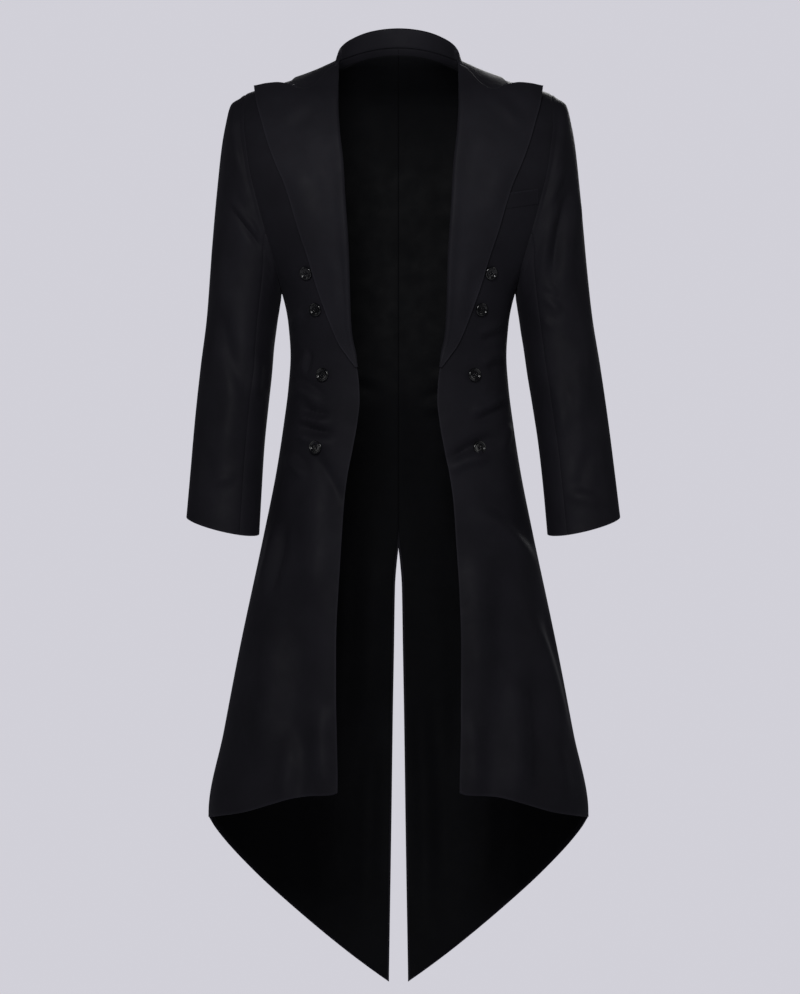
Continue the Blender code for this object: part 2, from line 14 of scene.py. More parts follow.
import bmesh
import bpy
import numpy as np
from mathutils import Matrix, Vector

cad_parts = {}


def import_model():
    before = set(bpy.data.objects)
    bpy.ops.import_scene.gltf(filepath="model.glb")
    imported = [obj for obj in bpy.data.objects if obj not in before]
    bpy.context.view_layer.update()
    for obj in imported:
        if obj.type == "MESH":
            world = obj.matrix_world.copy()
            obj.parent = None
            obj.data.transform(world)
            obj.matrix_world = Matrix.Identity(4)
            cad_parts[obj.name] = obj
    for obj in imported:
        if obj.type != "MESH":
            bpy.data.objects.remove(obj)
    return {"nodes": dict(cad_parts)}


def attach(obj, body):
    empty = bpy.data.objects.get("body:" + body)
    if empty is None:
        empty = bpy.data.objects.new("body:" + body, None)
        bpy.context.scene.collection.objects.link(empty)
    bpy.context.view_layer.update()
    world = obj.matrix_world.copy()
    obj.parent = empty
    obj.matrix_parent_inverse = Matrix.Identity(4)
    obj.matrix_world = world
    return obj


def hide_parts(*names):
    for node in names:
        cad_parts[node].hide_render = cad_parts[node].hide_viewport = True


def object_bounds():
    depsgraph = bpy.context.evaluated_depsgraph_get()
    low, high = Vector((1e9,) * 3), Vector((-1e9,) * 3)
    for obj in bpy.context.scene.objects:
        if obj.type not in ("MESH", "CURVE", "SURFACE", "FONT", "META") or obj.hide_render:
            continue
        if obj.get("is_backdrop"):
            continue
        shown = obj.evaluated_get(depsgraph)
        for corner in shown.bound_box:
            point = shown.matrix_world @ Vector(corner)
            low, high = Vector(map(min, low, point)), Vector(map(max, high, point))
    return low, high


LOG = logging.getLogger("tailcoat")
MM = 0.001

Array = np.ndarray
Node = bpy.types.ShaderNode
Socket = bpy.types.NodeSocket


class Face(Enum):
    """Which half of the form a surface lies on."""

    FRONT = "front"
    BACK = "back"

    @property
    def way(self) -> float:
        """The sign of Y on this half."""
        return -1.0 if self is Face.FRONT else 1.0


class Side(Enum):
    """The wearer's left or right."""

    LEFT = "left"
    RIGHT = "right"

    @property
    def way(self) -> float:
        """The sign of X on this side."""
        return 1.0 if self is Side.LEFT else -1.0


class Slot(Enum):
    """The record's material slots."""

    SUITING = "suiting"
    LAPEL_CLOTH = "lapel_cloth"
    LINING = "lining"
    BUTTON = "button"


# ---------------------------------------------------------------- arrays


def mix(a: Array | float, b: Array | float, share: Array | float) -> Array:
    """The value that lies a share of the way from a to b."""
    return a + (b - a) * share


def ease(share: Array | float) -> Array:
    """A share from 0 to 1 made to start and stop gently: s squared times 3 minus 2s."""
    share = np.clip(share, 0.0, 1.0)
    return share * share * (3.0 - 2.0 * share)


def curve_through(x: Sequence[float], y: Array, at: Array | float) -> Array:
    """Read a smooth curve through known values, which never overshoots them.

    Between two values it is Hermite's cubic. The slope at each inner value is the harmonic mean
    of the slopes either side, or 0 where they differ in sign.

    Args:
        x: Where the values are known, rising or falling.
        y: The values, one for each x, each a number or an array.
        at: Where to read the curve.

    Returns:
        The values at those places.
    """
    x, y = np.asarray(x, float), np.asarray(y, float)
    if x[0] > x[-1]:
        x, y = x[::-1], y[::-1]
    extra = (1,) * (y.ndim - 1)
    step = np.diff(x)
    slope = np.diff(y, axis=0) / step.reshape(-1, *extra)
    same_way = slope[:-1] * slope[1:] > 0
    total = np.where(same_way, slope[:-1] + slope[1:], 1.0)
    inner = np.where(same_way, 2.0 * slope[:-1] * slope[1:] / total, 0.0)
    tangent = np.concatenate([slope[:1], inner, slope[-1:]])
    at = np.clip(np.asarray(at, float), x[0], x[-1])
    i = np.clip(np.searchsorted(x, at, side="right") - 1, 0, len(step) - 1)
    width = step[i].reshape(at.shape + extra)
    s = ((at - x[i]) / step[i]).reshape(at.shape + extra)
    return (
        y[i] * (1 + 2 * s) * (1 - s) ** 2
        + tangent[i] * width * s * (1 - s) ** 2
        + y[i + 1] * s * s * (3 - 2 * s)
        - tangent[i + 1] * width * s * s * (1 - s)
    )


def stepped(counts: Sequence[int]) -> Array:
    """Positions from 0 to the number of counts, with each unit cut into that many steps."""
    parts = [i + np.arange(count) / count for i, count in enumerate(counts)]
    return np.concatenate([*parts, [len(counts)]])


def refined(points: Array, counts: Sequence[int], axis: int) -> Array:
    """A grid with each interval along one axis cut into steps on a smooth curve.

    The curve's parameter is the mean distance along that axis, so unequal intervals stay fair.

    Args:
        points: Grid of xyz.
        counts: How many steps each interval is cut into.
        axis: 0 for more rows, 1 for more columns.

    Returns:
        The finer grid.
    """
    grid = np.moveaxis(np.asarray(points, float), axis, 0)
    length = np.linalg.norm(np.diff(grid, axis=0), axis=-1).mean(axis=1)
    knots = np.concatenate([[0.0], np.cumsum(length)])
    at = np.interp(stepped(counts), np.arange(len(knots)), knots)
    return np.moveaxis(curve_through(knots, grid, at), 0, axis)


def grid_normals(points: Array, toward: Array) -> Array:
    """Unit normals of a grid, the cross product of its two slopes.

    Args:
        points: Grid of xyz.
        toward: A rough outward direction, one for all or one for each point.

    Returns:
        The normals, each on the side of its outward direction.
    """
    normal = np.cross(np.gradient(points, axis=0), np.gradient(points, axis=1))
    normal /= np.maximum(np.linalg.norm(normal, axis=-1, keepdims=True), 1e-9)
    way = np.sign((normal * toward).sum(axis=-1, keepdims=True))
    return normal * np.where(way == 0, 1.0, way)


def unit(vectors: Array) -> Array:
    """Vectors made one long."""
    return vectors / np.maximum(np.linalg.norm(vectors, axis=-1, keepdims=True), 1e-9)


@dataclass(frozen=True)
class Table:
    """A short table with named columns.

    Attributes:
        names: The columns' names.
        rows: The rows, in the order of the first column or of the reading's key.
    """

    names: tuple[str, ...]
    rows: tuple[tuple[float, ...], ...]

    def column(self, name: str) -> Array:
        """One column as an array."""
        return np.array([row[self.names.index(name)] for row in self.rows], float)

    def read(self, key: str, wanted: str, at: Array | float) -> Array:
        """The wanted column at values of the key column, on the curve through the rows."""
        return curve_through(self.column(key), self.column(wanted), at)

    def records(self) -> list[dict[str, float]]:
        """Each row as a dictionary from name to number."""
        return [dict(zip(self.names, row)) for row in self.rows]


# ---------------------------------------------------------------- the coat's form and folds


@dataclass(frozen=True)
class CoatForm:
    """The hollow form that the worn coat keeps: a stack of superellipses.

    At each height a section has a half width at the side seams, a depth forward and a depth back
    of them, and a squareness, its exponent.
    """

    sections: Table = Table(
        ("height", "half_width", "front", "back", "square"),
        (
            (16, 77, 30, 58, 2.0),
            (4, 80, 33, 61, 2.0),
            (-8, 84, 38, 66, 2.0),
            (-20, 108, 46, 74, 2.0),
            (-28.5, 130, 53, 80, 2.0),
            (-36, 152, 60, 85, 2.05),
            (-43, 175, 67, 90, 2.1),
            (-50.5, 203, 75, 95, 2.15),
            (-58, 222, 82, 99, 2.2),
            (-70, 232, 90, 104, 2.3),
            (-100, 243, 103, 111, 2.45),
            (-135, 246, 114, 116, 2.5),
            (-170, 243, 121, 118, 2.5),
            (-200, 237, 125, 117, 2.5),
            (-230, 228, 126, 115, 2.5),
            (-265, 213, 125, 111, 2.5),
            (-300, 193, 122, 107, 2.5),
            (-346, 167, 117, 101, 2.5),
            (-390, 158, 111, 93, 2.45),
            (-435, 155, 106, 87, 2.4),
            (-480, 158, 106, 87, 2.35),
            (-535, 165, 109, 94, 2.3),
            (-600, 175, 114, 105, 2.25),
            (-700, 195, 123, 119, 2.2),
            (-860, 229, 139, 135, 2.2),
            (-980, 252, 150, 145, 2.2),
            (-1096, 274, 160, 152, 2.2),
            (-1338, 275, 168, 158, 2.2),
        ),
    )
    least_depth: float = 0.15
    neck_height: float = -8.0
    shoulder_drop: float = -58.0

    def read(self, wanted: str, height: Array | float) -> Array:
        """A section's size at a height."""
        return self.sections.read("height", wanted, height)

    def at(self, x: Array | float, height: Array | float, face: Face) -> Array:
        """Points of the form.

        The depth is the section's reach times (1 - (x / half width) to the power p) to the power
        1 / p, with p its squareness.

        Args:
            x: Distance from the centre.
            height: Height of each point.
            face: The half of the form.

        Returns:
            Array of xyz.
        """
        x, height = np.broadcast_arrays(np.asarray(x, float), np.asarray(height, float))
        x = np.minimum(x, self.read("half_width", height))
        square = self.read("square", height)
        inside = 1 - (np.abs(x) / self.read("half_width", height)) ** square
        depth = self.read(face.value, height) * np.clip(inside, 0, 1) ** (1 / square)
        return np.stack([x, face.way * np.maximum(depth, self.least_depth), height], -1)

    def fullness(self, points: Array) -> Array:
        """Below 0 inside the form, 0 on it and above 0 outside: its superellipse's equation."""
        x, y, height = points[..., 0], points[..., 1], points[..., 2]
        square = self.read("square", height)
        reach = np.where(y < 0, self.read("front", height), self.read("back", height))
        width = self.read("half_width", height)
        return (np.abs(x) / width) ** square + (np.abs(y) / reach) ** square - 1

    def outward(self, points: Array) -> Array:
        """Unit normals of the form: the slope of its fullness, over 1 mm each way."""
        small = 0.5
        ways = np.eye(3) * small
        slopes = [self.fullness(points + way) - self.fullness(points - way) for way in ways]
        return unit(np.stack(slopes, -1))

    def shoulder_height(self, x: Array | float) -> Array:
        """Height of the shoulder seam at a distance from the centre."""
        heights = np.linspace(self.neck_height, self.shoulder_drop, 200)
        return np.interp(x, self.read("half_width", heights), heights)


@dataclass(frozen=True)
class Folds:
    """The creases of one half of the coat, each a soft ridge or trough on a bowed line.

    A crease runs from (x0, z0) to (x1, z1), bowed sideways at its middle by bow. Across, its rise
    is a Gaussian of its width, with a trough of that share of the rise beside it. Along, it fades
    in and out over a third of its length.

    Attributes:
        lines: One row for each crease.
        face: The half of the form that they lie on.
        depth: What every rise is multiplied by.
    """

    lines: Table
    face: Face
    depth: float = 2.0

    NAMES = ("x0", "z0", "x1", "z1", "bow", "width", "rise", "trough")

    def rise(self, points: Array, normals: Array) -> Array:
        """How far each point is moved out along its normal.

        Args:
            points: Array of xyz.
            normals: The surface's normals there.

        Returns:
            The sum of all creases, faded where the surface turns to the side.
        """
        total = np.zeros(points.shape[:-1])
        along = np.linspace(0, 1, 41)
        for line in self.lines.records():
            start = np.array([line["x0"], line["z0"]])
            way = np.array([line["x1"], line["z1"]]) - start
            across = np.array([-way[1], way[0]]) / np.hypot(*way)
            bow = 4 * along * (1 - along) * line["bow"]
            path = start + along[:, None] * way + bow[:, None] * across
            tangent = unit(np.gradient(path, axis=0))
            away = points[..., None, [0, 2]] - path
            nearest = np.argmin((away**2).sum(-1), axis=-1)
            gap = np.take_along_axis(away, nearest[..., None, None], axis=-2)[..., 0, :]
            turned = tangent[nearest]
            far = (turned[..., 0] * gap[..., 1] - turned[..., 1] * gap[..., 0]) / line["width"]
            share = along[nearest] + (gap * turned).sum(-1) / np.hypot(*way)
            fade = ease(share / 0.33) * ease((1 - share) / 0.33)
            shape = np.exp(-(far**2)) - line["trough"] * np.exp(-((far - 1.8) ** 2))
            total += line["rise"] * fade * shape
        return total * self.depth * ease(normals[..., 1] * self.face.way / 0.4)


def creases(face: Face, *rows: tuple[float, ...]) -> Folds:
    """The folds given by rows in the order of Folds.NAMES."""
    return Folds(Table(Folds.NAMES, rows), face)


# ---------------------------------------------------------------- finishes


@dataclass
class Nodes:
    """A small hand for wiring a material's nodes."""

    tree: bpy.types.NodeTree

    def add(self, kind: str, **settings: object) -> Node:
        """A new node with its settings."""
        node = self.tree.nodes.new(kind)
        for name, value in settings.items():
            setattr(node, name, value)
        return node

    def link(self, source: Socket, target: Socket) -> None:
        """Wires one socket to another."""
        self.tree.links.new(source, target)

    @staticmethod
    def fill(node: Node, values: dict[str, object]) -> None:
        """Puts constants on a node's inputs, by name."""
        for name, value in values.items():
            node.inputs[name].default_value = value

    def noise(self, source: Socket, scale: float, detail: float) -> Socket:
        """The factor of smooth noise of that many waves to the metre, which lies round a half."""
        node = self.add("ShaderNodeTexNoise")
        self.fill(node, {"Scale": scale, "Detail": detail})
        self.link(source, node.inputs["Vector"])
        return node.outputs["Fac"]

    def ranged(self, factor: Socket, low: float, high: float) -> Socket:
        """A factor from 0.3 to 0.7 stretched to the range from low to high."""
        node = self.add("ShaderNodeMapRange")
        self.fill(node, {"From Min": 0.3, "From Max": 0.7, "To Min": low, "To Max": high})
        self.link(factor, node.inputs["Value"])
        return node.outputs["Result"]

    def clouded(
        self, source: Socket, noise: tuple[float, float], hue: Sequence[float],
        spread: tuple[float, float],
    ) -> Socket:
        """A hue that varies over smooth noise.

        Args:
            source: The coordinates it reads.
            noise: Waves to the metre, and octaves.
            hue: The colour.
            spread: What it is multiplied by where it is darkest and lightest.

        Returns:
            The colour's socket.
        """
        share = self.ranged(self.noise(source, *noise), 0.0, 1.0)
        node = self.add("ShaderNodeMix", data_type="RGBA")
        for socket, amount in zip(coloured(node.inputs), spread):
            socket.default_value = (*(channel * amount for channel in hue), 1.0)
        self.link(share, node.inputs["Factor"])
        return coloured(node.outputs)[0]

    def relief(self, height: Socket, depth: float, under: Socket | None = None) -> Socket:
        """The normal over a relief of a depth in metres, laid on the normal under it."""
        node = self.add("ShaderNodeBump")
        self.fill(node, {"Strength": 0.5, "Distance": depth})
        self.link(height, node.inputs["Height"])
        if under:
            self.link(under, node.inputs["Normal"])
        return node.outputs["Normal"]


def coloured(sockets: Iterable[Socket]) -> list[Socket]:
    """The sockets that carry a colour."""
    return [socket for socket in sockets if socket.type == "RGBA"]


def started(name: str) -> tuple[bpy.types.Material, Nodes, Node, Node]:
    """A new node material, its wiring hand, its shader and its coordinates."""
    made = bpy.data.materials.new(name)
    made.use_nodes = True
    nodes = Nodes(made.node_tree)
    shader = made.node_tree.nodes["Principled BSDF"]
    return made, nodes, shader, nodes.add("ShaderNodeTexCoord")


@dataclass(frozen=True)
class ClothFinish:
    """A woven black cloth: twill lines, a cloudy tone, a painted highlight along pressed edges and
    a soft sheen.

    Attributes:
        name: The material's name.
        hue: Its colour in linear light.
        roughness: Lowest and highest roughness over the cloth.
        specular: Strength of its gloss.
        sheen: Strength of its nap's sheen.
        sheen_roughness: How widely that sheen spreads.
        twill: Distance between two twill lines, in metres.
        twill_depth: Depth of those lines, in metres.
        pucker: Depth of the faint unevenness of pressed cloth, in metres.
        edge: What the colour is multiplied by along pressed edges, a painted highlight.
        tones: What the hue is multiplied by in its darkest and lightest clouds.
        wave: Turns a distance between lines into the wave texture's scale.
    """

    name: str
    hue: tuple[float, float, float]
    roughness: tuple[float, float]
    specular: float
    sheen: float
    sheen_roughness: float = 0.45
    twill: float = 0.0007
    twill_depth: float = 0.00004
    pucker: float = 0.0005
    edge: float = 1.5
    tones: tuple[float, float] = (0.86, 1.16)
    wave: float = 0.32

    def build(self) -> bpy.types.Material:
        """The material.

        Twill lines follow the cloth's own UV map, which is in metres, and the clouds follow
        Object coordinates. The attribute of the painted edge highlight is 1 on a folded edge and
        falls to 0 beside it, and it lightens the colour there.

        Returns:
            The material, made once.
        """
        found = bpy.data.materials.get(self.name)
        if found:
            return found
        made, nodes, shader, place = started(self.name)
        ground = nodes.clouded(place.outputs["Object"], (14.0, 3.0), self.hue, self.tones)
        # Painted highlight: along pressed edges the base colour is multiplied by edge, standing in
        # for their shine.
        edge_highlight = nodes.add("ShaderNodeAttribute", attribute_name="edge_highlight")
        highlighted = nodes.add("ShaderNodeMix", data_type="RGBA", blend_type="MULTIPLY")
        below, above = coloured(highlighted.inputs)
        nodes.link(ground, below)
        above.default_value = (self.edge, self.edge, self.edge, 1.0)
        nodes.link(edge_highlight.outputs["Fac"], highlighted.inputs["Factor"])
        nodes.link(coloured(highlighted.outputs)[0], shader.inputs["Base Color"])

        patch = nodes.noise(place.outputs["Object"], 42.0, 2.0)
        nodes.link(nodes.ranged(patch, *self.roughness), shader.inputs["Roughness"])

        weave = nodes.add("ShaderNodeTexWave", wave_type="BANDS", bands_direction="DIAGONAL")
        nodes.fill(weave, {"Scale": self.wave / self.twill, "Distortion": 0.6, "Detail": 1.0})
        nodes.link(place.outputs["UV"], weave.inputs["Vector"])
        soft = nodes.noise(place.outputs["Object"], 75.0, 2.0)
        uneven = nodes.relief(soft, self.pucker)
        lines = nodes.relief(weave.outputs["Fac"], self.twill_depth, uneven)
        nodes.link(lines, shader.inputs["Normal"])

        nodes.fill(shader, {
            "Specular IOR Level": self.specular,
            "Sheen Weight": self.sheen,
            "Sheen Roughness": self.sheen_roughness,
            "Sheen Tint": (0.75, 0.75, 0.9, 1.0),
        })
        made.diffuse_color = (*self.hue, 1.0)
        return made


@dataclass(frozen=True)
class ButtonFinish:
    """Polished black resin with faint smoky clouds under a clear coat."""

    name: str = "polished_button"
    hue: tuple[float, float, float] = (0.0025, 0.0025, 0.003)
    roughness: tuple[float, float] = (0.08, 0.16)
    tones: tuple[float, float] = (0.6, 1.6)

    def build(self) -> bpy.types.Material:
        """The material, made once."""
        found = bpy.data.materials.get(self.name)
        if found:
            return found
        made, nodes, shader, place = started(self.name)
        ground = nodes.clouded(place.outputs["Object"], (260.0, 3.0), self.hue, self.tones)
        nodes.link(ground, shader.inputs["Base Color"])
        scuff = nodes.noise(place.outputs["Object"], 900.0, 2.0)
        nodes.link(nodes.ranged(scuff, *self.roughness), shader.inputs["Roughness"])
        nodes.fill(
            shader, {"Specular IOR Level": 0.35, "Coat Weight": 0.25, "Coat Roughness": 0.05}
        )
        made.diffuse_color = (*self.hue, 1.0)
        return made


@dataclass(frozen=True)
class FloorFinish:
    """A pale matt floor."""

    name: str = "pale_floor"
    hue: tuple[float, float, float] = (0.66, 0.655, 0.71)
    tones: tuple[float, float] = (0.98, 1.02)

    def build(self) -> bpy.types.Material:
        """The material, made once."""
        made, nodes, shader, place = started(self.name)
        ground = nodes.clouded(place.outputs["Object"], (1.5, 2.0), self.hue, self.tones)
        nodes.link(ground, shader.inputs["Base Color"])
        nodes.fill(shader, {"Roughness": 0.9})
        return made


SUITING = ClothFinish("black_suiting", (0.0082, 0.0078, 0.0104), (0.56, 0.68), 0.055, 0.02)
# The lapels' and collar's cloth: the suiting with a lighter hue, painted light for the lit chest
# and lapels.
LAPEL_CLOTH = ClothFinish("black_lapel_painted_light", (0.0100, 0.0096, 0.0126), (0.54, 0.66), 0.060, 0.02)
# The lining's hue is a third of the suiting's: a black lining darkened further as painted shade for
# the tails' shaded inside.
LINING = ClothFinish(
    "black_lining_painted_shade", (0.0026, 0.0027, 0.0034), (0.60, 0.70), 0.05, 0.0, twill=0.0004,
    twill_depth=0.00002, edge=1.2,
)


# ---------------------------------------------------------------- making a sheet of cloth


def in_scene(name: str, data: bpy.types.ID) -> bpy.types.Object:
    """A new object that shows the data, linked to the scene."""
    made = bpy.data.objects.new(name, data)
    bpy.context.scene.collection.objects.link(made)
    return made


@dataclass(frozen=True)
class Cut:
    """The flat piece that a sheet was cut as, in metres and square metres."""

    width: float
    length: float
    area: float


@dataclass
class Sheet:
    """One piece of cloth: a grid of points with a wall on its outer side.

    Attributes:
        node: The solid that it stands for.
        slot: The record's material slot; not used.
        finish: What it is made of.
        wall: Thickness of the cloth.
        cut: Its flat size; not used.
        held: How it is held, in the frame's words; not used.
        rests_on: The pieces that it hangs from or lies on; not used.
        pressed_edges: The grid's borders that are folded edges: top, bottom, first or last.
        seams: The borders that are sewn to a neighbour, where the cloth dips a little.
        seam_dip: How far it dips there.
        seam_width: How far from the seam the dip reaches.
        edge_highlight_width: How far from a folded edge the painted highlight reaches.
        rounding: The edges' rounding as a share of the wall.
    """

    node: str
    slot: Slot
    finish: ClothFinish
    wall: float
    cut: Cut
    held: str
    rests_on: tuple[str, ...] = ()
    pressed_edges: tuple[str, ...] = ()
    seams: tuple[str, ...] = ()
    seam_dip: float = 0.7
    seam_width: float = 2.6
    edge_highlight_width: float = 1.8
    rounding: float = 0.28

    @property
    def name(self) -> str:
        """The visible piece's name."""
        return "cloth_" + self.node

    @staticmethod
    def run(points: Array) -> tuple[Array, Array]:
        """Distances across from the first column and down from the first row, at every point."""
        across = np.linalg.norm(np.diff(points, axis=1), axis=-1)
        down = np.linalg.norm(np.diff(points, axis=0), axis=-1)
        u = np.pad(np.cumsum(across, axis=1), ((0, 0), (1, 0)))
        v = np.pad(np.cumsum(down, axis=0), ((1, 0), (0, 0)))
        return u, v

    def border_distance(self, points: Array, borders: Iterable[str]) -> Array:
        """The least distance to any of the named borders.

        Args:
            points: Grid of xyz.
            borders: Any of top, bottom, first and last.

        Returns:
            One distance for each point, large where no border is named.
        """
        u, v = self.run(points)
        known = {"top": v, "bottom": v[-1:] - v, "first": u, "last": u[:, -1:] - u}
        least = np.full(points.shape[:-1], 1e3)
        for border in borders:
            least = np.minimum(least, known[border])
        return least

    def build(self, points: Array, normals: Array) -> bpy.types.Object:
        """Makes the piece, parents it to the root body and hides its solid.

        Args:
            points: Grid of xyz on the inner side, in millimetres.
            normals: Outward directions there.

        Returns:
            The finished piece.
        """
        from_seam = self.border_distance(points, self.seams)
        dip = self.seam_dip * np.exp(-((from_seam / self.seam_width) ** 2))
        points = points - normals * dip[..., None]
        u, v = self.run(points)
        # Painted highlight: a mask that is 1 on pressed edges and fades beside them, which lightens
        # the colour there.
        from_fold = self.border_distance(points, self.pressed_edges)
        edge_highlight = np.exp(-((from_fold / self.edge_highlight_width) ** 2))
        rows, columns = points.shape[:2]
        index = np.arange(rows * columns).reshape(rows, columns)
        quads = np.stack([index[:-1, :-1], index[1:, :-1], index[1:, 1:], index[:-1, 1:]], -1)
        facing = np.cross(points[1:, :-1] - points[:-1, :-1], points[:-1, 1:] - points[:-1, :-1])
        if (facing * normals[:-1, :-1]).sum() < 0:
            quads = quads[..., ::-1]
        mesh = bpy.data.meshes.new(self.name)
        mesh.from_pydata(np.reshape(points * MM, (-1, 3)), [], np.reshape(quads, (-1, 4)))
        mesh.shade_smooth()
        corner = np.empty(len(mesh.loops), np.int32)
        mesh.loops.foreach_get("vertex_index", corner)
        lay = mesh.uv_layers.new(name="grain")
        flat = np.stack([u.ravel(), v.ravel()], -1) * MM
        lay.data.foreach_set("uv", flat[corner].astype(np.float32).ravel())
        marked = mesh.attributes.new("edge_highlight", "FLOAT", "POINT")
        marked.data.foreach_set("value", edge_highlight.astype(np.float32).ravel())
        mesh.materials.append(self.finish.build())
        piece = in_scene(self.name, mesh)
        wall = piece.modifiers.new("wall", "SOLIDIFY")
        wall.thickness = self.wall * MM
        wall.offset = 1.0
        wall.use_rim = True
        rounded = piece.modifiers.new("rounded_edges", "BEVEL")
        rounded.width = self.rounding * self.wall * MM
        rounded.segments = 2
        rounded.limit_method = "ANGLE"
        rounded.angle_limit = math.radians(60)
        rounded.use_clamp_overlap = True
        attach(piece, "root")
        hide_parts(self.node)
        list(self.rests_on)
        LOG.info("%s: %d by %d points", self.name, rows, columns)
        return piece


def mirrored(points: Array, side: Side) -> Array:
    """Points of the wearer's left, or their mirror image for the right."""
    return points * np.array([side.way, 1.0, 1.0])


# ---------------------------------------------------------------- fronts, backs and lining


@dataclass
class Body:
    """The two fronts, the two backs with their tails, and the backs' linings."""

    form: CoatForm
    suiting_wall: float = 1.6
    lining_wall: float = 1.0
    lining_gap: float = 2.0
    lining_inset: float = 4.0
    lining_clear: float = 0.8
    lining_lead: float = 40.0
    lining_fade: tuple[float, float] = (45.0, 60.0)
    front_settle: float = 0.16
    back_settle: float = 0.14
    seam: float = 0.3
    neck_point: float = 84.0
    back_neck: float = 12.0
    shoulder_point: float = 222.0
    armpit: float = -346.0
    vent_top: float = -715.0
    side_hem: float = -1103.0
    front_cut: Cut = Cut(0.267, 1.133, 0.2005)
    back_cut: Cut = Cut(0.418, 1.379, 0.3265)
    lining_cut: Cut = Cut(0.414, 1.364, 0.307)
    front_edge: Table = Table(
        ("height", "x"),
        (
            (-8, 87), (-20, 88), (-75, 88.5), (-110, 86.5), (-160, 81), (-205, 78.5), (-290, 73),
            (-335, 71.5), (-385, 69.5), (-415, 66.5), (-445, 61), (-475, 57), (-500, 56),
            (-530, 59), (-570, 66), (-610, 74), (-645, 79), (-710, 83.5), (-780, 87.5),
            (-860, 90), (-960, 90), (-1063, 88),
        ),
    )
    armhole: Table = Table(
        ("height", "x"),
        (
            (-58, 222), (-75, 223.5), (-100, 223.5), (-135, 219.5), (-170, 214), (-205, 206),
            (-240, 196.5), (-275, 186), (-310, 176), (-346, 167),
        ),
    )
    tail_edge: Table = Table(
        ("x", "height"),
        (
            (14, -1347), (40, -1327.5), (77, -1298), (145, -1239), (207, -1181), (262, -1121),
            (274, -1103),
        ),
    )
    front_hem: Table = Table(
        ("x", "height"),
        ((88, -1066), (98, -1069.5), (134, -1071), (180, -1082), (225, -1095), (274, -1103)),
    )
    vent: Table = Table(
        ("height", "x"),
        (
            (-715, 0.15), (-730, 2), (-770, 5), (-860, 6.5), (-970, 8.5), (-1120, 10.5),
            (-1338, 14),
        ),
    )
    across_front: Array = field(default_factory=lambda: np.linspace(0, 1, 80))
    across_back: Array = field(default_factory=lambda: np.linspace(0, 1, 84))
    down: Array = field(
        default_factory=lambda: np.concatenate(
            [np.linspace(0, 0.03, 14, endpoint=False), np.linspace(0.03, 1, 232)]
        )
    )
    # The wearer's right front, seen on the left, then the left one
    right_folds: Folds = creases(
        Face.FRONT,
        (-133, -424, -142, -462, 2, 4.0, 1.6, 0.9),
        (-160, -478, -112, -508, 5, 7.0, 2.2, 0.8),
        (-150, -518, -94, -532, -5, 7.0, 3.0, 1.0),
        (-152, -546, -88, -562, -4, 8.0, 3.6, 0.9),
        (-128, -572, -84, -655, 6, 9.0, -3.0, 0.0),
        (-162, -575, -128, -612, -5, 8.0, 2.2, 0.6),
        (-120, -588, -130, -820, 8, 24.0, 6.5, 0.4),
        (-174, -668, -202, -785, 3, 8.0, 3.4, 0.9),
        (-182, -800, -212, -1040, 9, 22.0, 5.4, 0.6),
        (-112, -930, -104, -1085, -3, 14.0, 3.6, 0.6),
        (-160, -960, -170, -1100, 4, 13.0, 3.0, 0.7),
        (-140, -365, -158, -398, 3, 6.0, 1.4, 0.8),
    )
    left_folds: Folds = creases(
        Face.FRONT,
        (150, -385, 112, -402, 4, 6.0, 1.6, 0.8),
        (152, -432, 118, -452, -4, 7.0, 2.0, 0.7),
        (152, -488, 100, -518, 5, 7.5, 2.8, 1.0),
        (74, -600, 152, -556, 15, 8.0, -3.4, 0.0),
        (68, -606, 136, -586, 10, 7.5, 3.6, 0.3),
        (158, -530, 148, -575, 3, 7.0, 1.8, 0.6),
        (96, -655, 196, -752, 14, 13.0, 3.6, 0.7),
        (176, -786, 240, -1010, 8, 14.0, 4.4, 0.8),
        (118, -690, 126, -960, -8, 22.0, 5.6, 0.4),
        (160, -870, 172, -1095, 7, 16.0, 4.2, 0.7),
        (104, -940, 108, -1090, 4, 13.0, 3.2, 0.5),
        (228, -985, 246, -1085, -4, 12.0, 2.0, 0.6),
    )
    back_folds: dict[Side, Folds] = field(
        default_factory=lambda: {
            Side.LEFT: creases(
                Face.BACK,
                (172, -150, 120, -268, -10, 12.0, 2.6, 0.8),
                (150, -250, 70, -330, 8, 12.0, 1.8, 0.6),
                (150, -430, 40, -452, 8, 8.0, 2.0, 0.8),
                (146, -486, 22, -500, -6, 9.0, 2.4, 0.9),
                (142, -540, 52, -556, 5, 10.0, 2.0, 0.8),
                (70, -600, 92, -1080, 12, 26.0, 5.0, 0.5),
                (150, -700, 196, -1120, -8, 24.0, 4.6, 0.6),
                (28, -880, 40, -1290, 4, 15.0, 2.6, 0.5),
                (120, -980, 122, -1230, 6, 18.0, 2.8, 0.6),
            ),
            Side.RIGHT: creases(
                Face.BACK,
                (-178, -160, -128, -262, 8, 11.0, 2.4, 0.8),
                (-154, -262, -84, -322, -6, 11.0, 2.0, 0.7),
                (-148, -418, -60, -438, -6, 8.0, 2.2, 0.8),
                (-150, -470, -18, -496, 9, 10.0, 2.2, 0.8),
                (-138, -548, -44, -540, -5, 9.0, 1.8, 0.9),
                (-64, -620, -80, -1100, -10, 24.0, 4.6, 0.5),
                (-142, -690, -182, -1090, 10, 26.0, 5.0, 0.5),
                (-32, -910, -46, -1280, -5, 16.0, 2.8, 0.5),
                (-214, -920, -226, -1110, 5, 16.0, 2.6, 0.5),
                (-118, -1010, -112, -1220, -6, 17.0, 2.2, 0.6),
            ),
        }
    )

    def panel_side(self, height: Array) -> Array:
        """Distance of a panel's outer edge from the centre: the armhole, then the side seam."""
        hole = self.armhole.read("height", "x", height)
        return np.where(height > self.armpit + 0.01, hole, self.form.read("half_width", height))

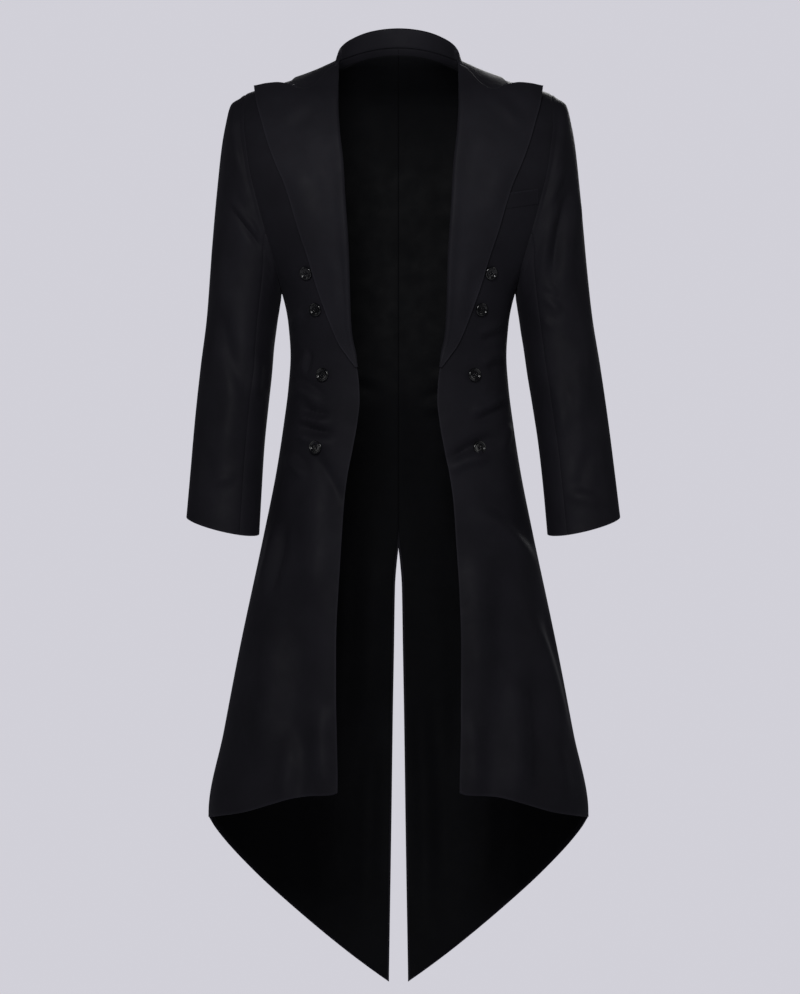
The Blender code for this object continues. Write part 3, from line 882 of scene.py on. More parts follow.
    @staticmethod
    def round_to(inner: Array, outer: Array, half_width: Array, share: Array) -> Array:
        """Distances from the centre, at even turns round a section from inner to outer.

        Args:
            inner: Distance of the inner edge.
            outer: Distance of the outer edge.
            half_width: The section's half width.
            share: From 0 at the inner edge to 1 at the outer one.

        Returns:
            The half width times the sine of the turn there.
        """
        low = np.arcsin(np.clip(inner / half_width, 0, 1))
        high = np.arcsin(np.clip(outer / half_width, 0, 1))
        return half_width * np.sin(mix(low, high, share))

    def panel(
        self,
        top_x: Array,
        top: Array,
        hem: Array,
        inner_edge: Callable[[Array], Array],
        across: Array,
        settle: float,
        face: Face,
    ) -> Array:
        """The sheet of a front or back.

        A point's height is the mix of its column's top and hem by v. Its distance from the centre
        goes from its place on the top edge to its turn round the form as v passes settle.

        Args:
            top_x: Distance of each column's top from the centre.
            top: Height of each column's top.
            hem: Height of each column's foot.
            inner_edge: Distance of the inner edge at a height.
            across: The columns' shares of the width.
            settle: Share of the length at which the turns are even.
            face: The half of the form.

        Returns:
            Grid of xyz, its rows from the top to the hem.
        """
        t, v = np.meshgrid(across, self.down)
        height = mix(top, hem, v)
        inner, outer = inner_edge(height), self.panel_side(height)
        level_x = self.round_to(inner, outer, self.form.read("half_width", height), t)
        x = mix(top_x, level_x, ease(v / settle))
        x = np.where(t >= 1, outer, np.where(t <= 0, np.where(v <= 0, top_x, inner), x))
        return self.form.at(x, height, face)

    def hem_heights(
        self, hem: Table, inner_edge: Callable[[Array], Array], across: Array
    ) -> Array:
        """Height of a hem under each column, found by stepping to where column and hem meet.

        Args:
            hem: Height of the hem at each distance from the centre.
            inner_edge: Distance of the inner edge at a height.
            across: The columns' shares of the width.

        Returns:
            One height for each column.
        """
        height = np.full(across.shape, self.side_hem)
        widest = self.form.read("half_width", self.side_hem)
        for _ in range(30):
            half_width = self.form.read("half_width", height)
            outer = np.minimum(widest, half_width)
            x = self.round_to(inner_edge(height), outer, half_width, across)
            height = hem.read("x", "height", x)
            height[-1] = self.side_hem
        return height

    def front_grid(self) -> Array:
        """The left front, across from its front edge to the side, down from shoulder to hem."""

        def edge(height: Array) -> Array:
            """The front edge's distance from the centre."""
            return self.front_edge.read("height", "x", height)

        across = self.across_front
        top_x = mix(self.neck_point + 3, self.shoulder_point, across)
        hem = self.hem_heights(self.front_hem, edge, across)
        top = self.form.shoulder_height(top_x)
        return self.panel(top_x, top, hem, edge, across, self.front_settle, Face.FRONT)

    def back_top(self, x: Array) -> Array:
        """Height of the back's top edge: the neckline, a parabola, then the shoulder seam."""
        rise = self.back_neck - self.form.neck_height
        neckline = self.back_neck - rise * (x / self.neck_point) ** 2
        return np.where(x < self.neck_point, neckline, self.form.shoulder_height(x))

    def back_grid(self, across: Array) -> Array:
        """The left back, across from the centre to the side, down from the neck to the tail."""

        def edge(height: Array) -> Array:
            """The vent's distance from the centre."""
            return self.vent.read("height", "x", height)

        top_x = mix(self.seam / 2, self.shoulder_point, across)
        hem = self.hem_heights(self.tail_edge, edge, across)
        top = self.back_top(top_x)
        return self.panel(top_x, top, hem, edge, across, self.back_settle, Face.BACK)

    def lining_grid(self) -> Array:
        """The back's sheet without its top edge, drawn in at the vent and hem.

        Each border point slides towards its column's or row's inner points by its inset, and the
        points beside it follow in a share that fades over the next columns or rows.

        Returns:
            Grid of xyz on the back's own form.
        """
        grid = self.back_grid(self.across_back)[3:]
        u, v = Sheet.run(grid)
        across_fade, up_fade = self.lining_fade
        below = ease((self.vent_top + self.lining_lead - grid[..., 2]) / up_fade)
        inward = unit(np.gradient(grid, axis=1))
        down = unit(np.gradient(grid, axis=0))
        from_vent = self.lining_inset * below * np.exp(-u / across_fade)
        from_hem = self.lining_inset * np.exp(-(v[-1:] - v) / up_fade)
        moved = grid + inward * from_vent[..., None] - down * from_hem[..., None]
        x = np.minimum(moved[..., 0], self.form.read("half_width", moved[..., 2]))
        return self.form.at(x, moved[..., 2], Face.BACK)

    def front_rise(self, points: Array, normals: Array, side: Side) -> Array:
        """How far the front's folds stand out at points of the left front or its mirror image."""
        folds = self.left_folds if side is Side.LEFT else self.right_folds
        return folds.rise(mirrored(points, side), mirrored(normals, side))

    def build(self) -> list[bpy.types.Object]:
        """Makes the six sheets.

        Returns:
            The fronts, the backs and the linings.
        """
        made = []
        front, back = self.front_grid(), self.back_grid(self.across_back)
        lining = self.lining_grid()
        front_way, back_way = self.form.outward(front), self.form.outward(back)
        lining_way = self.form.outward(lining)
        for side in Side:
            rise = self.front_rise(front, front_way, side)
            sheet = Sheet(
                f"front_{side.value}", Slot.SUITING, SUITING, self.suiting_wall, self.front_cut,
                "hung", (f"cloth_back_{side.value}",), ("first", "bottom"), ("last",),
            )
            points = front + front_way * rise[..., None]
            made.append(sheet.build(mirrored(points, side), mirrored(front_way, side)))
            folds = self.back_folds[side]
            rise = folds.rise(mirrored(back, side), mirrored(back_way, side))
            sheet = Sheet(
                f"back_{side.value}", Slot.SUITING, SUITING, self.suiting_wall, self.back_cut,
                "hung", (), ("bottom",), ("last", "first"),
            )
            points = back + back_way * rise[..., None]
            made.append(sheet.build(mirrored(points, side), mirrored(back_way, side)))
            rise = folds.rise(mirrored(lining, side), mirrored(lining_way, side))
            sheet = Sheet(
                f"lining_{side.value}", Slot.LINING, LINING, self.lining_wall, self.lining_cut,
                "hung", (f"cloth_back_{side.value}",), ("bottom",), (),
            )
            inset = self.lining_wall + self.lining_gap + self.lining_clear
            points = lining + lining_way * (rise - inset)[..., None]
            made.append(sheet.build(mirrored(points, side), mirrored(lining_way, side)))
        return made


# ---------------------------------------------------------------- lapels and collar


@dataclass
class Lapels:
    """The two wide peaked lapels, each rolled back from the front edge over the chest."""

    form: CoatForm
    body: Body
    wall: float = 2.0
    under_cloth: float = 1.6
    gap: float = 2.8
    foot: float = -452.0
    gorge_gap: float = 0.8
    peak_clear: float = 9.0
    peak_lean: float = 0.8
    fold_shift: float = 2.2
    corner: float = 3.0
    standing_from: tuple[float, float] = (118.0, 20.0)
    crowding: float = 1.15
    drop: float = 411.0
    cut: Cut = Cut(0.161, 0.480, 0.0370)
    columns: int = 64
    rows: int = 130
    turns: int = 9
    edge: Table = Table(
        ("height", "x"),
        (
            (-41, 207), (-52, 206), (-75, 202), (-100, 195), (-120, 189.5), (-142, 182),
            (-160, 175), (-192, 161.5), (-257, 141.5), (-290, 130), (-329, 118), (-358, 108),
            (-392, 95.5), (-417, 85), (-436, 73), (-452, 61.2),
        ),
    )
    gorge: Table = Table(
        ("x", "height"),
        (
            (88, -17), (97, -22), (107, -32.5), (117, -43.5), (127, -50.5), (137, -53),
            (148, -50.5), (160, -46), (174, -43.5), (189, -44.5), (207, -47.5),
        ),
    )
    folds: dict[Side, Folds] = field(
        default_factory=lambda: {
            Side.LEFT: creases(
                Face.FRONT,
                (128, -66, 178, -112, 6, 9.0, 1.0, 0.5),
                (100, -290, 88, -400, -3, 9.0, 0.9, 0.4),
                (150, -150, 128, -235, 4, 14.0, 0.9, 0.4),
            ),
            Side.RIGHT: creases(
                Face.FRONT,
                (-120, -70, -170, -104, -5, 10.0, 0.8, 0.5),
                (-98, -280, -86, -390, 3, 9.0, 0.8, 0.4),
                (-146, -160, -122, -250, -4, 13.0, 0.9, 0.4),
            ),
        }
    )

    def standing(self, x: Array, height: Array) -> tuple[Array, Array]:
        """Points on the front and its normals, for a sheet whose top may leave the shoulder.

        Near the shoulder line a point leaves the front and goes on upwards, leaning back by
        peak_lean for each millimetre. A soft minimum keeps the turn smooth.

        Args:
            x: Distance from the centre.
            height: Height wanted.

        Returns:
            The points and the normals.
        """
        x, height = np.broadcast_arrays(np.asarray(x, float), np.asarray(height, float))
        limit = self.form.shoulder_height(x) - self.peak_clear
        start, width = self.standing_from
        capped = -self.corner * np.logaddexp(-height / self.corner, -limit / self.corner)
        on_front = mix(height, capped, ease((x - start) / width))
        points = self.form.at(x, on_front, Face.FRONT)
        normals = self.form.outward(points)
        points[..., 1] += self.peak_lean * (height - on_front)
        points[..., 2] += height - on_front
        return points, normals

    def gorge_line(self, x: Array) -> tuple[Array, Array, Array]:
        """The gorge seam.

        Args:
            x: Distances from the centre, rising.

        Returns:
            Its points, the way over the shoulder from each, and the front's normals.
        """
        line, normals = self.standing(x, self.gorge.read("x", "height", x))
        over = unit(np.cross(np.gradient(line, axis=0), normals))
        return line, over * np.sign(over[:, 2:3]), normals

    def grid(self, side: Side) -> tuple[Array, Array]:
        """One lapel as if on the left.

        Its rows run from the gorge to the foot, and its columns from the roll to the outer edge.
        Before the first column a half circle carries the cloth round the roll and back to the
        front's edge, with a radius of half its height above the front.

        Args:
            side: The side whose folds it gets.

        Returns:
            The points and the outward directions.
        """
        ends = self.gorge.column("x")[[0, -1]]
        across = np.linspace(0, 1, self.columns)
        line, over, _ = self.gorge_line(mix(ends[0], ends[1], across))
        t, v = np.meshgrid(across, np.linspace(0, 1, self.rows) ** self.crowding)
        height = mix(self.gorge.read("x", "height", line[:, 0]), self.foot, v)
        shift = self.fold_shift * ease(v / 0.08) * ease((1 - v) / 0.12)
        roll = self.body.front_edge.read("height", "x", height) + shift
        edge = self.edge.read("height", "x", height)
        blend = np.where((t > 0) & (t < 1), ease(v / 0.10), 1.0)
        x = mix(line[:, 0], mix(roll, edge, t), blend)
        x[0] = line[:, 0]
        sheet, normals = self.standing(x, height)
        seam = (self.gorge_gap / 2 + 2.0 * np.exp(-across / 0.05))[:, None]
        sheet -= over * seam * np.exp(-v * self.drop / 5)[..., None]
        roll_rise = 1.6 * np.exp(-((t / 0.12) ** 2)) * ease((1 - v) / 0.3) * ease(v / 0.1)
        rise = self.folds[side].rise(mirrored(sheet, side), mirrored(normals, side))
        rise *= ease(t / 0.15) * ease((1 - t) / 0.15)
        lift = self.under_cloth + self.gap + roll_rise + rise
        sheet = sheet + normals * lift[..., None]

        inward = unit(sheet[:, 0] - sheet[:, 2])
        turn = np.linspace(-math.pi / 2, math.pi / 2, self.turns, endpoint=False)
        shrink = ease(v[:, 0] / 0.05) * ease((1 - v[:, 0]) / 0.06)
        radius = np.maximum((lift[:, 0] - self.under_cloth / 2) / 2 * shrink, 0.25)
        middle = sheet[:, 0] - normals[:, 0] * radius[:, None]
        out = np.cos(turn)[None, :, None] * inward[:, None, :]
        up = np.sin(turn)[None, :, None] * normals[:, :1, :]
        fold = middle[:, None, :] + radius[:, None, None] * (out + up)
        return np.concatenate([fold, sheet], axis=1), np.concatenate([out + up, normals], axis=1)

    def build(self) -> list[bpy.types.Object]:
        """Makes both lapels."""
        made = []
        for side in Side:
            points, normals = self.grid(side)
            sheet = Sheet(
                f"lapel_{side.value}", Slot.LAPEL_CLOTH, LAPEL_CLOTH, self.wall, self.cut,
                "folded", (f"cloth_front_{side.value}",), ("last",), ("top",), seam_dip=0.3,
            )
            made.append(sheet.build(mirrored(points, side), mirrored(normals, side)))
        return made


@dataclass
class Collar:
    """The collar: a stand round the back of the neck, folded over into a fall on the shoulders.

    Its stations run from the centre back, 0, over the shoulder seam to the gorge, 1.
    """

    form: CoatForm
    body: Body
    lapels: Lapels
    wall: float = 2.0
    shoulder_station: float = 0.62
    fold_radius: float = 2.2
    fall_turn: float = 54.0
    neck_ease: float = 1.8
    notch: float = 4.0
    notch_start: float = 137.0
    end: float = 160.0
    fall_columns: int = 20
    cut: Cut = Cut(0.490, 0.131, 0.0380)
    stand: Table = Table(
        ("station", "height"), ((0, 26), (0.2, 25.5), (0.4, 22), (0.62, 13), (0.8, 6), (1, 2))
    )
    fall: Table = Table(
        ("x", "height"),
        ((0, -9), (40, -12), (75, -21), (105, -31), (128, -37.5), (141, -37.5), (147, -34.3)),
    )

    def neck(self, station: float) -> Array:
        """Where the collar's foot meets the coat at a station, as xyz."""
        if station <= self.shoulder_station:
            turn = station / self.shoulder_station * math.pi / 2
            x = np.array([self.body.neck_point * math.sin(turn)])
            return self.form.at(x, self.body.back_top(x), Face.BACK)[0]
        share = (station - self.shoulder_station) / (1 - self.shoulder_station)
        foot_x, foot_z = self.lapels.gorge.rows[0]
        x = np.array([mix(self.body.neck_point, foot_x, share)])
        low = mix(self.form.neck_height, foot_z, share**1.4)
        return self.form.at(x, np.minimum(low, self.form.shoulder_height(x)), Face.FRONT)[0]

    def fall_line(self, station: float) -> Array:
        """The fall at a station, lying on the coat from the neck to the collar's edge.

        Args:
            station: Where it is along the collar.

        Returns:
            Array of xyz, one for each fall column.
        """
        lift = self.lapels.under_cloth + self.lapels.gap
        start = self.lapels.gorge.rows[0][0]
        stations = np.linspace(start, self.end, self.fall_columns)
        line, over, normals = self.lapels.gorge_line(stations)
        out = (line[:, 0] - line[0, 0]) / (line[-1, 0] - line[0, 0])
        edge_x = self.fall.rows[-1][0]
        if station <= self.shoulder_station:
            share = station / self.shoulder_station
            neck = self.neck(station)
            wide = edge_x * math.sin(share * math.pi / 2)
            x = mix(neck[0], wide, out)
            drop = self.fall_turn * math.cos(share * math.pi / 2) ** 4 * np.minimum(out / 0.5, 1)
            height = np.minimum(
                mix(neck[2], float(self.fall.read("x", "height", wide)), out),
                self.body.back_top(x) - drop,
            )
            lying = self.form.at(x, height, Face.BACK)
            return lying + self.form.outward(lying) * (
                lift + self.neck_ease * (1 - out) ** 2
            )[:, None]
        if station >= 1:
            opened = ease((line[:, 0] - self.notch_start) / (self.end - self.notch_start))
            apart = self.lapels.gorge_gap / 2 + self.notch * opened
            return line + over * apart[:, None] + normals * lift
        share = (station - self.shoulder_station) / (1 - self.shoulder_station)
        x = mix(mix(self.body.neck_point, edge_x, out), line[:, 0], share)
        ridge = self.form.shoulder_height(x)
        gorge = self.lapels.gorge.read("x", "height", x)
        height = mix(ridge, np.minimum(gorge, ridge), share**1.8)
        lying = self.form.at(x, height, Face.FRONT)
        return lying + self.form.outward(lying) * (
            lift + self.neck_ease * (1 - share) * (1 - out) ** 2
        )[:, None]

    def section(self, station: float) -> Array:
        """The collar's line at a station: up the stand, over the fold and down the fall."""
        neck = self.neck(station)
        reached = min(1.0, station / self.shoulder_station)
        facing = math.radians(90.0 * reached)
        level = np.array([math.sin(facing), math.cos(facing), 0.0])
        up = np.array([0.0, 0.0, 1.0])
        height = float(self.stand.read("station", "height", station))
        foot = neck - level * 0.3 + up * (1.0 + self.lapels.under_cloth * mix(0.4, 1.0, reached))
        head = foot + up * height - level * 0.12 * height
        crown = head + (level + up) * self.fold_radius
        fall_head = head + level * 2 * self.fold_radius
        lying = self.fall_line(station)[1:]
        hang = mix(fall_head, lying[0], 0.5) + level * 0.5
        return np.array([foot, head, crown, fall_head, hang, *lying])

    def grid(self) -> Array:
        """The whole collar, from the right gorge round the back of the neck to the left one."""
        behind = np.linspace(0, self.shoulder_station, 13)
        before = np.linspace(self.shoulder_station, 1, 9)[1:]
        left = np.array([self.section(s) for s in np.concatenate([behind, before])])
        right = left[:0:-1] * np.array([-1.0, 1.0, 1.0])
        coarse = np.concatenate([right, left])
        rows = refined(coarse, [4] * (len(coarse) - 1), 0)
        steps = [7, 5, 5, 4, 4] + [2] * (self.fall_columns - 2)
        return refined(rows, steps, 1)

    def build(self) -> list[bpy.types.Object]:
        """Makes the collar."""
        points = self.grid()
        sheet = Sheet(
            "collar", Slot.LAPEL_CLOTH, LAPEL_CLOTH, self.wall, self.cut, "folded",
            ("cloth_back_left", "cloth_back_right"), ("last", "top", "bottom"), (),
        )
        return [sheet.build(points, self.outer_way(points))]

    def outer_way(self, points: Array) -> Array:
        """The normals all on the fall's outer side, which is the stand's inner side.

        A grid's own normals keep one side all over, so one test at the fall's middle settles it.

        Args:
            points: The collar's grid.

        Returns:
            The normals on the outer side.
        """
        raw = unit(np.cross(np.gradient(points, axis=0), np.gradient(points, axis=1)))
        row, column = len(points) // 2, points.shape[1] - 12
        outward = self.form.outward(points[row, column][None])[0]
        return raw * np.sign(raw[row, column] @ outward)


# ---------------------------------------------------------------- sleeves


@dataclass
class Sleeves:
    """The two-piece sleeves, each an upper and an under piece between two seams."""

    form: CoatForm
    body: Body
    wall: float = 1.6
    seam: float = 0.3
    head_roll: float = 7.0
    cuff_slant: float = 9.0
    swing: float = 7.0
    front_seam_turn: float = 62.0
    back_seam_turn: float = 58.0
    upper_cut: Cut = Cut(0.315, 0.633, 0.1385)
    under_cut: Cut = Cut(0.238, 0.446, 0.0483)
    columns: tuple[int, int] = (86, 46)
    start_gap: float = 0.6
    under_arm: tuple[float, float, float] = (3.9, 0.0, 1.0)
    tuck: tuple[float, float, float] = (2.6, 2.2, 2.4)
    swing_length: float = 320.0
    head_fade: float = 45.0
    ring_steps: tuple[int, ...] = (3, 5, 4, 6, 8, 13, 14, 14, 16, 17, 19, 18, 15)
    rings: Table = Table(
        ("outer_x", "outer_z", "inner_x", "inner_z", "middle_y", "front", "back", "blend"),
        (
            (222, -58, 171, -345, 0, 70, 70, 0.0),
            (231, -62, 171.5, -350, 0, 71, 71, 0.1),
            (241, -71, 172, -355, 0, 72, 71, 0.32),
            (248.5, -98, 173, -361, 0, 73, 72, 0.6),
            (254.5, -131, 174, -368, 1, 73, 73, 0.85),
            (261, -190, 176, -380, 2, 72, 73, 1.0),
            (266.5, -250, 178.5, -398, 2, 70, 71, 1.0),
            (271.5, -310, 182, -422, 0, 67, 68, 1.0),
            (278, -380, 186.5, -462, -4, 64, 64, 1.0),
            (288, -450, 192.5, -506, -10, 61, 61, 1.0),
            (298, -530, 200, -566, -19, 57, 56, 1.0),
            (306, -606, 205.5, -630, -30, 53, 51, 1.0),
            (312.5, -669, 210, -693, -40, 49, 47, 1.0),
        ),
    )
    folds: dict[Side, tuple[Folds, ...]] = field(
        default_factory=lambda: {
            Side.LEFT: (
                creases(
                    Face.FRONT,
                    (256, -172, 221, -340, -6, 9.0, -4.2, 0.0),
                    (270, -175, 243, -360, -8, 13.0, 2.8, 0.0),
                    (238, -190, 208, -330, -5, 8.0, 1.8, 0.0),
                    (236, -150, 214, -222, 3, 6.0, 1.6, 0.7),
                    (210, -330, 230, -352, 2, 5.0, 1.0, 0.6),
                    (206, -350, 234, -376, 4, 6.0, 1.2, 0.7),
                    (208, -378, 228, -398, -2, 5.5, 0.9, 0.6),
                    (268, -380, 246, -560, 8, 17.0, 3.0, 0.4),
                    (286, -560, 262, -640, -5, 12.0, -2.0, 0.0),
                    (240, -640, 296, -652, 5, 9.0, 1.6, 0.6),
                    (226, -470, 236, -560, 4, 9.0, 1.8, 0.6),
                ),
                creases(
                    Face.BACK,
                    (252, -190, 218, -330, 6, 12.0, 2.8, 0.7),
                    (270, -360, 220, -402, 5, 8.0, 2.6, 0.9),
                    (276, -400, 224, -428, -4, 8.0, 2.2, 0.8),
                    (282, -440, 232, -470, 4, 9.0, 1.9, 0.8),
                    (280, -520, 262, -640, 5, 14.0, 2.0, 0.5),
                ),
            ),
            Side.RIGHT: (
                creases(
                    Face.FRONT,
                    (-244, -212, -192, -284, -3, 5.0, -2.6, 0.0),
                    (-246, -200, -190, -268, -5, 6.0, 2.4, 0.0),
                    (-240, -122, -230, -170, 3, 5.0, 1.8, 0.9),
                    (-232, -130, -216, -190, 3, 6.0, 1.5, 0.8),
                    (-262, -340, -213, -512, -8, 12.0, -3.0, 0.0),
                    (-268, -240, -258, -400, 5, 15.0, 2.2, 0.0),
                    (-240, -420, -262, -600, 8, 17.0, 3.0, 0.0),
                    (-206, -430, -212, -500, 3, 8.0, 1.6, 0.7),
                    (-286, -560, -272, -640, 4, 11.0, -1.6, 0.0),
                    (-232, -610, -284, -628, -5, 9.0, 1.5, 0.5),
                ),
                creases(
                    Face.BACK,
                    (-250, -180, -214, -320, -6, 12.0, 2.6, 0.7),
                    (-268, -372, -216, -394, -5, 8.0, 2.4, 0.9),
                    (-272, -410, -220, -440, 4, 8.5, 2.4, 0.8),
                    (-270, -455, -226, -478, -3, 8.0, 1.6, 0.8),
                    (-266, -540, -250, -650, -5, 14.0, 2.2, 0.5),
                ),
            ),
        }
    )

    def armhole_ring(self, turns: Array) -> Array:
        """The armhole seam, 0 at the shoulder, a quarter turn in front and a half under the arm.

        The turn is the share of the seam's length down its front, and up its back.

        Args:
            turns: Angles in radians.

        Returns:
            Array of xyz.
        """
        heights = np.linspace(self.form.shoulder_drop, self.body.armpit, 240)
        x = self.body.armhole.read("height", "x", heights)
        x[-1] = self.form.read("half_width", self.body.armpit)
        turn = np.mod(turns, 2 * math.pi)
        halves = []
        for face in Face:
            line = self.form.at(x, heights, face)
            steps = np.linalg.norm(np.diff(line, axis=0), axis=1)
            length = np.concatenate([[0], np.cumsum(steps)])
            share = turn / math.pi if face is Face.FRONT else 2 - turn / math.pi
            at = share * length[-1]
            halves.append(np.stack([np.interp(at, length, line[:, i]) for i in range(3)], -1))
        return np.where((turn <= math.pi)[:, None], halves[0], halves[1])

    def rows(self, turns: Array, swing: float) -> Array:
        """The sleeve's rings from the armhole to the cuff, as if on the left.

        A ring is an oval, its middle plus cos times its half width and sin times its reach. The
        first rings are mixed with the armhole's own line, carried out as the table's ends move.
        Before them comes the seam's allowance, tucked under the body's cloth.

        Args:
            turns: Angles round the sleeve.
            swing: How far the cuff hangs sideways.

        Returns:
            Grid of xyz.
        """
        seam = self.armhole_ring(turns)
        under = (1 - np.cos(turns)) / 2
        ring_way = self.armhole_ring(turns + 0.05) - self.armhole_ring(turns - 0.05)
        leaving = unit(np.cross(self.form.outward(seam), ring_way))
        clear = under[:, None] ** 3
        start = seam + leaving * self.start_gap * (1 - clear) + np.array(self.under_arm) * clear
        along, down, inward = self.tuck
        tucked = leaving * along * (1 - clear) - np.array([0, 0, down]) * clear
        rows = [seam - self.form.outward(seam) * inward - tucked]
        table = self.rings.records()
        for index, ring in enumerate(table):
            outer = np.array([ring["outer_x"], 0.0, ring["outer_z"]])
            inner = np.array([ring["inner_x"], 0.0, ring["inner_z"]])
            middle = (outer + inner) / 2 + np.array([0.0, ring["middle_y"], 0.0])
            reach = np.where(np.sin(turns) > 0, ring["front"], ring["back"])
            slant = self.cuff_slant * ease((index - 8) / (len(table) - 9))
            sines = np.stack([0 * turns, -reach * np.sin(turns), -slant * np.sin(turns)], -1)
            oval = middle + np.cos(turns)[:, None] * (outer - inner) / 2 + sines
            outer_way = outer - np.array([table[0]["outer_x"], 0.0, table[0]["outer_z"]])
            inner_way = inner - np.array([table[0]["inner_x"], 0.0, table[0]["inner_z"]])
            carried = start + mix(outer_way, inner_way, under[:, None])
            points = mix(carried, oval, ring["blend"])
            if index == 1:
                rolled = start + leaving * self.head_roll
                points = mix(points, rolled, 0.8 * (1 - under[:, None]) ** 2)
            below = (self.body.armpit - middle[2]) / self.swing_length
            points[:, 0] += swing * min(1.0, max(0.0, below))
            rows.append(points)
        return np.array(rows)

    def grid(self, turns: Array, side: Side) -> tuple[Array, Array]:
        """One piece of a sleeve, folded, with its long edges set back from the seams.

        One more column each side gives the edges the same normals as the piece next to them.

        Args:
            turns: Angles of its columns.
            side: The sleeve's side.

        Returns:
            The points on that side and the outward directions.
        """
        wider = np.concatenate([[2 * turns[0] - turns[1]], turns, [2 * turns[-1] - turns[-2]]])
        around = np.linspace(0, 2 * math.pi, 24, endpoint=False)
        points, middle = (
            mirrored(refined(self.rows(angles, side.way * self.swing), self.ring_steps, 0), side)
            for angles in (wider, around)
        )
        normals = grid_normals(points, points - middle.mean(axis=1, keepdims=True))
        rise = sum(folds.rise(points, normals) for folds in self.folds[side])
        _, v = Sheet.run(points)
        rise = rise * ease(v / self.head_fade)
        points = (points + normals * rise[..., None])[:, 1:-1]
        way = points[:, 1] - points[:, 0]
        points[:, 0] += unit(way) * self.seam
        way = points[:, -2] - points[:, -1]
        points[:, -1] += unit(way) * self.seam
        return points, normals[:, 1:-1]

    def build(self) -> list[bpy.types.Object]:
        """Makes the four pieces."""
        front = math.pi - math.radians(self.front_seam_turn)
        back = math.pi - math.radians(self.back_seam_turn)
        made = []
        for side in Side:
            hung_from = (f"cloth_front_{side.value}", f"cloth_back_{side.value}")
            for name, turns, cut in (
                ("upper", np.linspace(-back, front, self.columns[0]), self.upper_cut),
                (
                    "under",
                    np.linspace(front, 2 * math.pi - back, self.columns[1]),
                    self.under_cut,
                ),
            ):
                points, normals = self.grid(turns, side)
                sheet = Sheet(
                    f"sleeve_{name}_{side.value}", Slot.SUITING, SUITING, self.wall, cut, "hung",
                    hung_from, ("bottom",), ("first", "last"),
                )
                made.append(sheet.build(points, normals))
        return made


# ---------------------------------------------------------------- pocket and buttons


@dataclass
class Pocket:
    """The chest pocket's welt, a band on the left front that slopes up to the armhole."""

    form: CoatForm
    inner: tuple[float, float] = (148.0, -202.0)
    outer: tuple[float, float] = (200.0, -194.0)
    height: float = 22.0
    wall: float = 1.2
    under_cloth: float = 1.6
    gap: float = 0.3
    cut: Cut = Cut(0.0606, 0.0224, 0.001326)

    def build(self) -> list[bpy.types.Object]:
        """Makes the welt, its middle a little fuller than its ends."""
        t, v = np.meshgrid(np.linspace(0, 1, 44), np.linspace(0, 1, 20))
        x = mix(self.inner[0], self.outer[0], t)
        height = mix(self.inner[1], self.outer[1], t) - self.height * v
        points = self.form.at(x, height, Face.FRONT)
        normals = self.form.outward(points)
        full = 0.5 * np.sin(np.pi * t) * (1 - v) ** 2
        points = points + normals * (self.under_cloth + self.gap + full)[..., None]
        sheet = Sheet(
            "pocket_welt", Slot.SUITING, SUITING, self.wall, self.cut, "laid",
            ("cloth_front_left",), ("top", "first", "last"), ("bottom",), seam_dip=0.2,
        )
        return [sheet.build(points, normals)]


